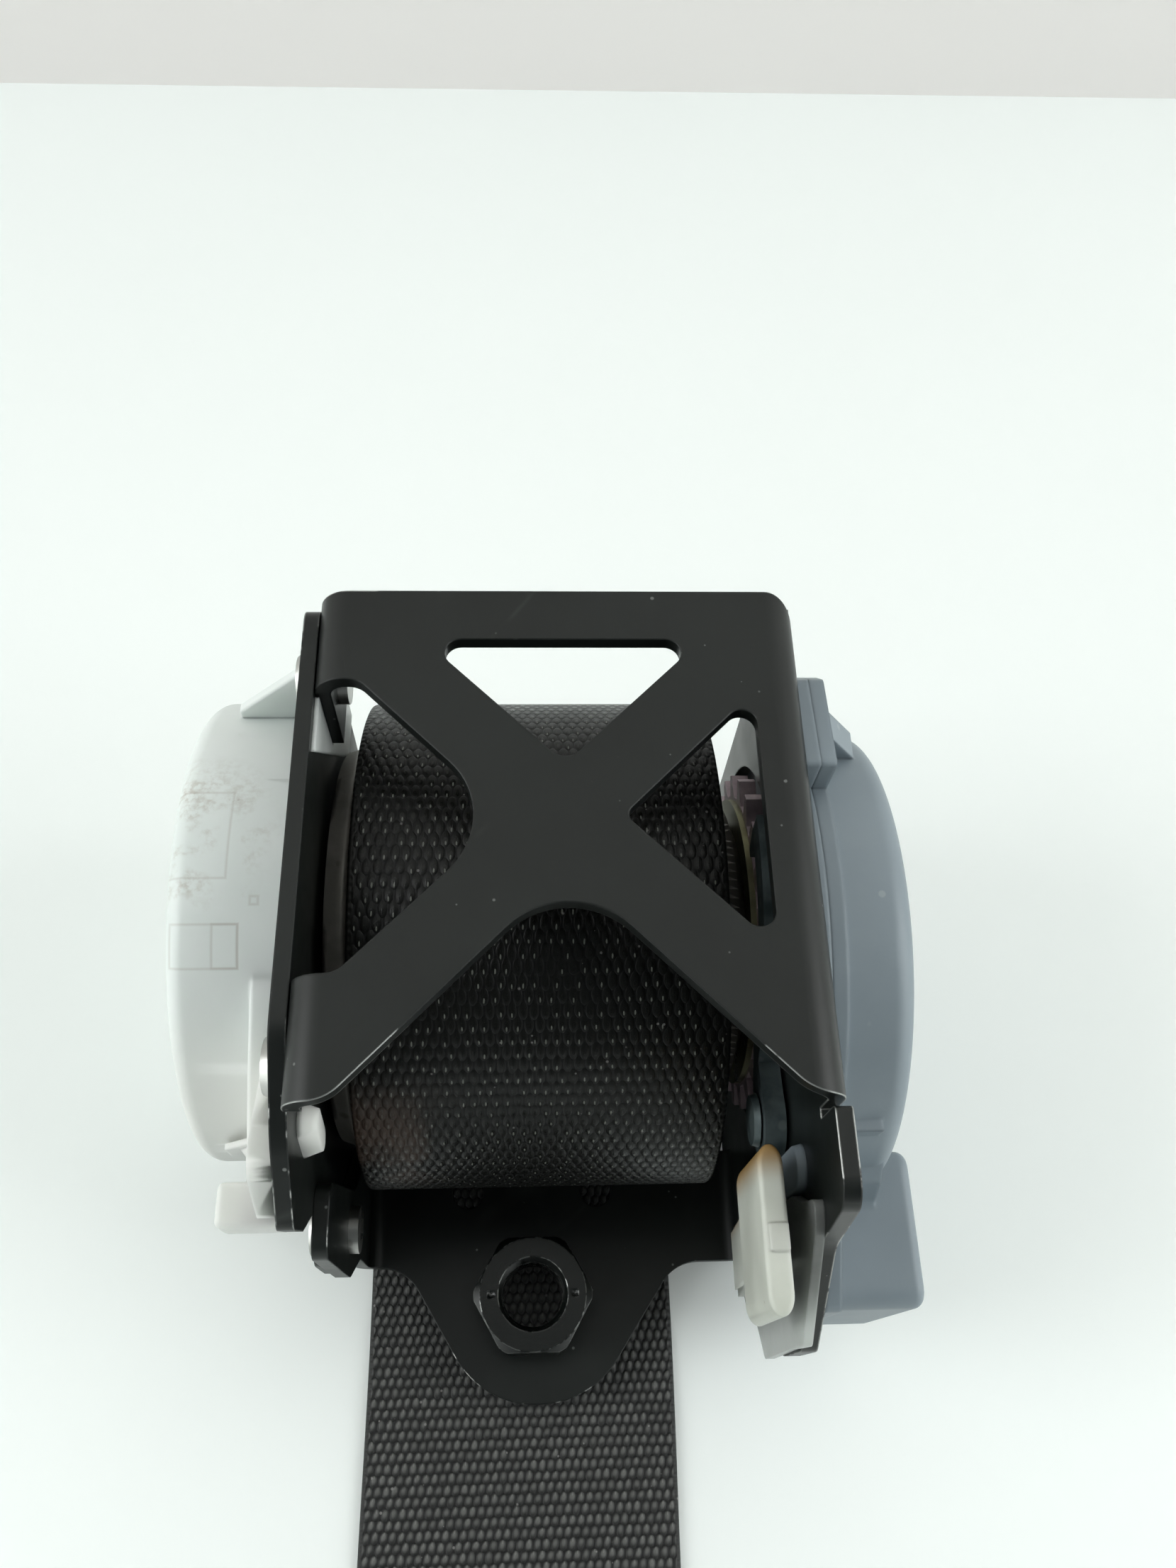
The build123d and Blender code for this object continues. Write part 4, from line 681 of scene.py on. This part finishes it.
housingWork = reshapedNode("sensor_cartridge", housingRule)
addPrism(housingWork, "z", housingSizes["boss"], *housingSizes["bossZ"], housingSizes["bossEdge"])
sensorHousing = newPiece(
    "sensorHousing", finishMesh(housingWork, "sensorHousing", 40), ivoryPlastic, "base", "ivory_moulding",
    "sensor_cartridge",
)
evenNormals(sensorHousing)
print("cover and sensor housing reshaped")

# the spool, whose left flange is smaller and thicker in its rim than the cone of its solid
spoolSizes = dict(face=-23.95, cone=25.9, rim=28.2, taper=0.1)


def spoolRule(x, y, z):
    far = math.hypot(y, z)
    if x > spoolSizes["face"] or far < spoolSizes["cone"]:
        return x, y, z
    shrink = (spoolSizes["rim"] + (far - spoolSizes["cone"]) * spoolSizes["taper"]) / far
    return x, y * shrink, z * shrink


spoolWork = reshapedNode("spool", spoolRule)
spoolCasting = newPiece(
    "spoolCasting", finishMesh(spoolWork, "spoolCasting"), spoolMetal, "spool", "spool_casting", "spool",
)
evenNormals(spoolCasting)

# the weld nut: a chamfered hexagon with a thread in its bore and two small dimples
nutSizes = dict(
    middle=(-0.9, -46.9), bottom=-30.5, top=-22.5, halfFlats=8.0, corner=8.85, rim=7.9, slope=0.9,
    mouth=5.2, mouthDepth=0.8, crest=4.42, groove=0.55, pitch=1.25,
    dimpleAt=6.25, dimple=0.55, dimpleDepth=0.4, around=144, across=12, down=72,
)


def nutMesh(s):
    work = bmesh.new()
    lines = []
    sixth = math.pi / 3
    for k in range(s["around"]):
        a = 2 * math.pi * k / s["around"]
        side = min(s["corner"], s["halfFlats"] / math.cos(a % sixth - sixth / 2))
        profile = [(side, s["bottom"]), (side, s["top"] - (side - s["rim"]) * s["slope"])]
        for n in range(s["across"] + 1):
            r = s["rim"] + (s["mouth"] - s["rim"]) * n / s["across"]
            off = math.hypot(abs(r * math.cos(a)) - s["dimpleAt"], r * math.sin(a)) / s["dimple"]
            profile.append((r, s["top"] - s["dimpleDepth"] * max(0.0, 1 - off * off)))
        inside = s["top"] - s["mouthDepth"]
        for n in range(s["down"] + 1):
            z = inside + (s["bottom"] - inside) * n / s["down"]
            turn = (z / s["pitch"] - a / (2 * math.pi)) % 1
            profile.append((s["crest"] + s["groove"] * (1 - abs(2 * turn - 1)), z))
        x, y = s["middle"]
        lines.append([work.verts.new(at(x + r * math.cos(a), y + r * math.sin(a), z)) for r, z in profile])
    for k, line in enumerate(lines):
        following = lines[(k + 1) % len(lines)]
        for n in range(len(line)):
            m = (n + 1) % len(line)
            work.faces.new((line[n], following[n], following[m], line[m]))
    bmesh.ops.recalc_face_normals(work, faces=work.faces)
    return finishMesh(work, "anchorNut", 22)


anchorNut = newPiece("anchorNut", nutMesh(nutSizes), nutCoat, "base", "frame_steel", "anchor_nut")
evenNormals(anchorNut)
print("spool and nut shaped")

# the webbing wound on the spool, as one spiral strip, in metres
windingSizes = {
    "Inner Radius": 0.0176, "Outer Radius": 0.03522, "Turns": 14.6, "Width": 0.047, "Thickness": 0.00114,
    "Edge": 0.0004, "Wander": 0.00035, "Seed": 4.0,
}
rollEnd = 40  # degrees from the spiral's own end to the rear of the bottom


def makeWinding():
    inputs = [("Geometry", "Geometry", None), ("Cloth", "Material", None)]
    inputs += [(label, "Float", value) for label, value in windingSizes.items()]
    tree, given, out = newTree("GeometryNodeTree", "winding", inputs, [("Geometry", "Geometry")])
    spiral = treeNode(tree, "GeometryNodeCurveSpiral", {
        "Resolution": 90, "Rotations": given["Turns"], "Start Radius": given["Inner Radius"],
        "End Radius": given["Outer Radius"], "Height": 0.0,
    })
    upright = treeNode(tree, "GeometryNodeSetCurveNormal", {"Curve": spiral.outputs[0]}, mode="Z_UP")
    kept = treeNode(tree, "GeometryNodeCaptureAttribute", {"Geometry": upright.outputs[0]})
    kept.capture_items.new("FLOAT", "along")
    tree.links.new(treeNode(tree, "GeometryNodeSplineParameter").outputs["Length"], kept.inputs[1])
    profile = treeNode(tree, "GeometryNodeCurvePrimitiveQuadrilateral", {
        "Width": given["Thickness"], "Height": given["Width"],
    })
    eased = treeNode(
        tree, "GeometryNodeFilletCurve", {"Curve": profile.outputs[0], "Radius": given["Edge"], "Count": 2},
        mode="POLY",
    )
    strip = treeNode(tree, "GeometryNodeCurveToMesh", {
        "Curve": kept.outputs[0], "Profile Curve": eased.outputs[0], "Fill Caps": True,
    })
    # the map: millimetres across and along
    position = treeNode(tree, "GeometryNodeInputPosition").outputs[0]
    across = calc(tree, "MULTIPLY", shaderNode(tree, "SeparateXYZ", {0: position}).outputs[2], 1000.0)
    length = calc(tree, "MULTIPLY", kept.outputs[1], 1000.0)
    pair = shaderNode(tree, "CombineXYZ", {0: across, 1: length})
    mapped = treeNode(
        tree, "GeometryNodeStoreNamedAttribute",
        {"Geometry": strip.outputs[0], "Name": "UVMap", "Value": pair.outputs[0]},
        data_type="FLOAT2", domain="CORNER",
    )
    # the turns don't lie quite edge to edge
    walk = calc(tree, "MULTIPLY_ADD", kept.outputs[1], given["Seed"], given["Seed"])
    drift = shaderNode(tree, "TexNoise", {"W": walk, "Scale": 2.0}, noise_dimensions="1D").outputs[0]
    push = calc(tree, "MULTIPLY", calc(tree, "SUBTRACT", drift, 0.5), given["Wander"])
    offset = shaderNode(tree, "CombineXYZ", {2: push})
    moved = treeNode(tree, "GeometryNodeSetPosition", {
        "Geometry": mapped.outputs[0], "Offset": offset.outputs[0],
    })
    real = treeNode(tree, "GeometryNodeRealizeInstances", {"Geometry": moved.outputs[0]})
    dressed = treeNode(tree, "GeometryNodeSetMaterial", {
        "Geometry": real.outputs[0], "Material": given["Cloth"],
    })
    tree.links.new(dressed.outputs[0], out[0])
    return tree


rollMesh = runTree(makeWinding(), {**windingSizes, "Cloth": rollCloth})
# the spiral lies flat when it is made: stand it on the spool, its outer end at the rear of the bottom
endAngle = windingSizes["Turns"] * 360 % 360
stand = Matrix.Rotation(math.radians(90), 4, "Y") @ Matrix.Rotation(math.radians(rollEnd - endAngle), 4, "Z")
rollMesh.transform(Matrix.Translation(at(0, 0, 0)) @ stand)
smoothMesh(rollMesh, 50)
webbingRoll = newPiece("webbingRoll", rollMesh, rollCloth, "spool", "webbing", "webbing_roll")
print("roll wound,", len(rollMesh.polygons), "faces")

# the loose end of the webbing: off the roll, along the floor, folded into a hank, through the tongue
# and round the bar of the end plate. Heights are above the floor.
tailSizes = dict(
    middleX=-3.0, width=47.0, thickness=1.2, step=0.9, wrapRadius=36.7, wrapAngle=35.0, wrapEase=0.28, wrapSteps=8,
    floorRun=((-20, 0.6), (-60, 0.62), (-104, 0.62), (-112, 1.1), (-120, 1.9)), hankStart=-150,
    hankRear=-108.0, hankFront=-208.0, turnRoom=0.8, layers=(2.0, 3.6, 5.2, 6.8, 8.6), slotY=-186.0,
    overGrip=17.85, gripFront=-199.5, low=0.75, high=5.15, loopFront=-244.0, barRear=-237.0, sewnEnd=-216.0,
    shoulder=0.9, rounding=0.25, roundingHeight=0.8,
)


def tailRoute(s):
    points = []
    for k in range(s["wrapSteps"] + 1):
        left = 1 - k / s["wrapSteps"]
        a = math.radians(s["wrapAngle"] * left)
        r = s["wrapRadius"] - s["wrapEase"] * left
        points.append((r * math.sin(a), spoolAt[2] - r * math.cos(a)))
    points += s["floorRun"]
    # the layers of the hank, with a half round between one and the next
    front, rear = s["hankFront"] + s["turnRoom"], s["hankRear"] - s["turnRoom"]
    heights = s["layers"]
    points.append((s["hankStart"], heights[0]))
    for k, (height, above) in enumerate(zip(heights, heights[1:])):
        far, side = (front, -1) if k % 2 == 0 else (rear, 1)
        points.append((far, height))
        middle, half = (height + above) / 2, (above - height) / 2
        for turn in (30, 60, 90, 120, 150):
            a = math.radians(turn)
            points.append((far + side * half * math.sin(a), middle - half * math.cos(a)))
        points.append((far, above))
    # up through the tongue's slot, over its grip and down again
    y, grip, top = s["slotY"], s["gripFront"], s["overGrip"]
    points += [(y + 4, heights[-1]), (y + 0.9, heights[-1] + 0.7), (y, heights[-1] + 3), (y, top - 2.2)]
    points += [(y - 0.8, top - 0.5), (y - 2.6, top), (grip + 2, top - 0.1), (grip - 1.5, top - 1.6)]
    # round the bar of the end plate and back under itself
    low, high, front = s["low"], s["high"], s["loopFront"]
    sewn = high - s["thickness"] + 0.02
    points += [(grip - 12, high + 1.6), (grip - 15, high), (front + 1.6, high), (front + 0.3, high - 0.6)]
    points += [(front - 0.1, (high + low) / 2), (front + 0.3, low + 0.6), (front + 1.6, low)]
    points += [(s["barRear"] + 2, low), (s["barRear"] + 6, sewn), (s["sewnEnd"], sewn)]
    return points


def distances(path):
    return np.concatenate([[0], np.cumsum(np.linalg.norm(np.diff(path, axis=0), axis=1))])


def resample(points, step, rounds=2):
    # even steps along a route of (y, height) points, then a light smoothing between them
    path = np.array(points)
    walked = distances(path)
    marks = np.linspace(0, walked[-1], int(walked[-1] / step) + 1)
    even = np.column_stack([np.interp(marks, walked, path[:, k]) for k in range(2)])
    for _ in range(rounds):
        even[1:-1] = 0.25 * even[:-2] + 0.5 * even[1:-1] + 0.25 * even[2:]
    return even, distances(even)


def ribbonOutline(s):
    # half of the section's upper side, its mirror image, and the same below
    half, thick = s["width"] / 2, s["thickness"] / 2
    right = [(half / 2, thick), (half - s["shoulder"], thick), (half - s["rounding"], thick * s["roundingHeight"])]
    upper = [(-x, up) for x, up in reversed(right)] + [(0, thick)] + right
    return [(-half, 0)] + upper + [(half, 0)] + [(x, -up) for x, up in reversed(upper)]


def ribbonMesh(name, path, walked, s):
    # a flat strip with softly rounded selvedges that follows a route in the Y and Z plane
    outline = ribbonOutline(s)
    tangent = np.gradient(path, axis=0)
    tangent /= np.linalg.norm(tangent, axis=1)[:, None]
    work = bmesh.new()
    layer = work.loops.layers.uv.new("UVMap")
    rings = []
    for (y, z), (ty, tz), far in zip(path, tangent, walked):
        # a belt that was folded by hand sways a little
        middle = s["middleX"] + 0.25 * math.sin(far / 37.0) + 0.12 * math.sin(far / 11.0 + 1.0)
        # the strip goes towards -Y, so its upper side is at +Z when it lies flat
        rings.append([work.verts.new(at(middle + x, y + tz * up, floorZ + z - ty * up)) for x, up in outline])
    for k in range(len(rings) - 1):
        for j in range(len(outline)):
            n = (j + 1) % len(outline)
            face = work.faces.new((rings[k][j], rings[k][n], rings[k + 1][n], rings[k + 1][j]))
            for loop, (m, i) in zip(face.loops, ((k, j), (k, n), (k + 1, n), (k + 1, j))):
                loop[layer].uv = (outline[i][0], walked[m])
    for ring in (list(reversed(rings[0])), rings[-1]):
        for loop in work.faces.new(ring).loops:
            loop[layer].uv = (0, 0)
    bmesh.ops.recalc_face_normals(work, faces=work.faces)
    return finishMesh(work, name, 60)


tailPath, tailWalked = resample(tailRoute(tailSizes), tailSizes["step"])
tailMesh = ribbonMesh("webbingTail", tailPath, tailWalked, tailSizes)
webbingTail = newPiece(
    "webbingTail", tailMesh, tailCloth, "base", "webbing", "webbing_tail", "webbing_hank", "webbing_end",
)
print("webbing laid,", round(tailWalked[-1]), "mm of it")


# floor, light and camera
stageSizes = dict(
    reach=3.0, edge=0.2637, edgeTurn=0.0154, lift=0.1,
    floor=(0.905, 0.94, 0.92), floorRough=0.35, band=(0.86, 0.83, 0.81), bandRough=0.6,
)


def plainSheet(name, corners, color, rough):
    mesh = bpy.data.meshes.new(name)
    mesh.from_pydata(corners, [], [tuple(range(len(corners)))])
    sheet = bpy.data.objects.new(name, mesh)
    bpy.context.scene.collection.objects.link(sheet)
    material, tree, shader, place = newMaterial(name)
    cloudy = useGroup(tree, grain, place, fine=300.0, cloud=6.0)
    tint = blendColor(tree, cloudy["Tone"], color4(color), color4([c * 0.985 for c in color]))
    tree.links.new(tint, shader.inputs["Base Color"])
    shader.inputs["Roughness"].default_value = rough
    # the camera sees the pale stage a little lighter than the object does
    seen = shaderNode(tree, "LightPath").outputs["Is Camera Ray"]
    lift = blendColor(tree, seen, (0.0, 0.0, 0.0, 1.0), color4([c * stageSizes["lift"] for c in color]))
    tree.links.new(lift, shader.inputs["Emission Color"])
    shader.inputs["Emission Strength"].default_value = 1.0
    mesh.materials.append(material)


reach = stageSizes["reach"]
farLeft, farRight = (stageSizes["edge"] + side * reach * stageSizes["edgeTurn"] for side in (-1, 1))
floorCorners = [(-reach, -reach, 0), (reach, -reach, 0), (reach, farRight, 0), (-reach, farLeft, 0)]
bandCorners = [(-reach, farLeft, 0), (reach, farRight, 0), (reach, farRight, reach), (-reach, farLeft, reach)]
plainSheet("floor", floorCorners, stageSizes["floor"], stageSizes["floorRough"])
plainSheet("wallBand", bandCorners, stageSizes["band"], stageSizes["bandRough"])

lampSizes = {
    "overheadLamp": dict(place=(0.1, 1.05, 1.35), size=(2.0, 1.0), power=65.0, color=(1.0, 1.0, 0.99)),
    "sideLamp": dict(place=(-1.4, 0.1, 1.0), size=(1.0, 1.0), power=12.6, color=(0.97, 0.99, 1.0)),
    "farLamp": dict(place=(1.4, -0.1, 1.0), size=(1.0, 1.0), power=9.9, color=(0.98, 1.0, 1.0)),
    "stripLamp": dict(place=(0.25, 1.5, 1.15), size=(1.2, 0.06), power=7.7, color=(1.0, 1.0, 1.0)),
}
lampAim = Vector((0, 0, 0.03))
for name, lamp in lampSizes.items():
    light = bpy.data.lights.new(name, "AREA")
    light.shape = "RECTANGLE"
    light.size, light.size_y = lamp["size"]
    light.energy = lamp["power"]
    light.color = lamp["color"]
    holder = bpy.data.objects.new(name, light)
    holder.location = lamp["place"]
    holder.rotation_euler = (lampAim - Vector(lamp["place"])).to_track_quat("-Z", "Y").to_euler()
    bpy.context.scene.collection.objects.link(holder)

# the room is pale all round, and darker over the front, where the camera was held
roomSizes = dict(
    pale=(0.95, 1.0, 0.98), dark=(0.05, 0.056, 0.056), darkSide=(0.0, -0.62, 0.78), darkFrom=0.36, darkTo=0.82,
    strength=2.5,
)
world = bpy.data.worlds.new("studio")
world.use_nodes = True
skyTree = world.node_tree
sky = skyTree.nodes["Background"]
toward = shaderNode(skyTree, "TexCoord").outputs["Generated"]
over = vectorCalc(skyTree, "DOT_PRODUCT", toward, roomSizes["darkSide"])["Value"]
dim = ramp(skyTree, over, roomSizes["darkFrom"], roomSizes["darkTo"])
skyTree.links.new(blendColor(skyTree, dim, color4(roomSizes["pale"]), color4(roomSizes["dark"])), sky.inputs["Color"])
sky.inputs["Strength"].default_value = roomSizes["strength"]
bpy.context.scene.world = world

cameraSizes = dict(place=(-1.86, -63.71, 178.51), down=63.11, heading=6.40, roll=5.46, lens=28.97, sensor=36.0)
down, heading, roll = (math.radians(cameraSizes[k]) for k in ("down", "heading", "roll"))
forward = Vector((math.sin(heading) * math.cos(down), math.cos(heading) * math.cos(down), -math.sin(down)))
level = Vector((math.cos(heading), -math.sin(heading), 0))
upward = level.cross(forward)
right = math.cos(roll) * level + math.sin(roll) * upward
top = -math.sin(roll) * level + math.cos(roll) * upward
lensData = bpy.data.cameras.new("camera")
lensData.sensor_fit = "AUTO"
lensData.sensor_width = cameraSizes["sensor"]
lensData.lens = cameraSizes["lens"]
lensData.clip_start, lensData.clip_end = 0.005, 20.0
camera = bpy.data.objects.new("camera", lensData)
facing = Matrix((right, top, -forward)).transposed().to_4x4()
camera.matrix_world = Matrix.Translation(at(*cameraSizes["place"])) @ facing
bpy.context.scene.collection.objects.link(camera)
bpy.context.scene.camera = camera
bpy.context.scene.view_settings.view_transform = "Standard"

print("stage, lamps and camera set")
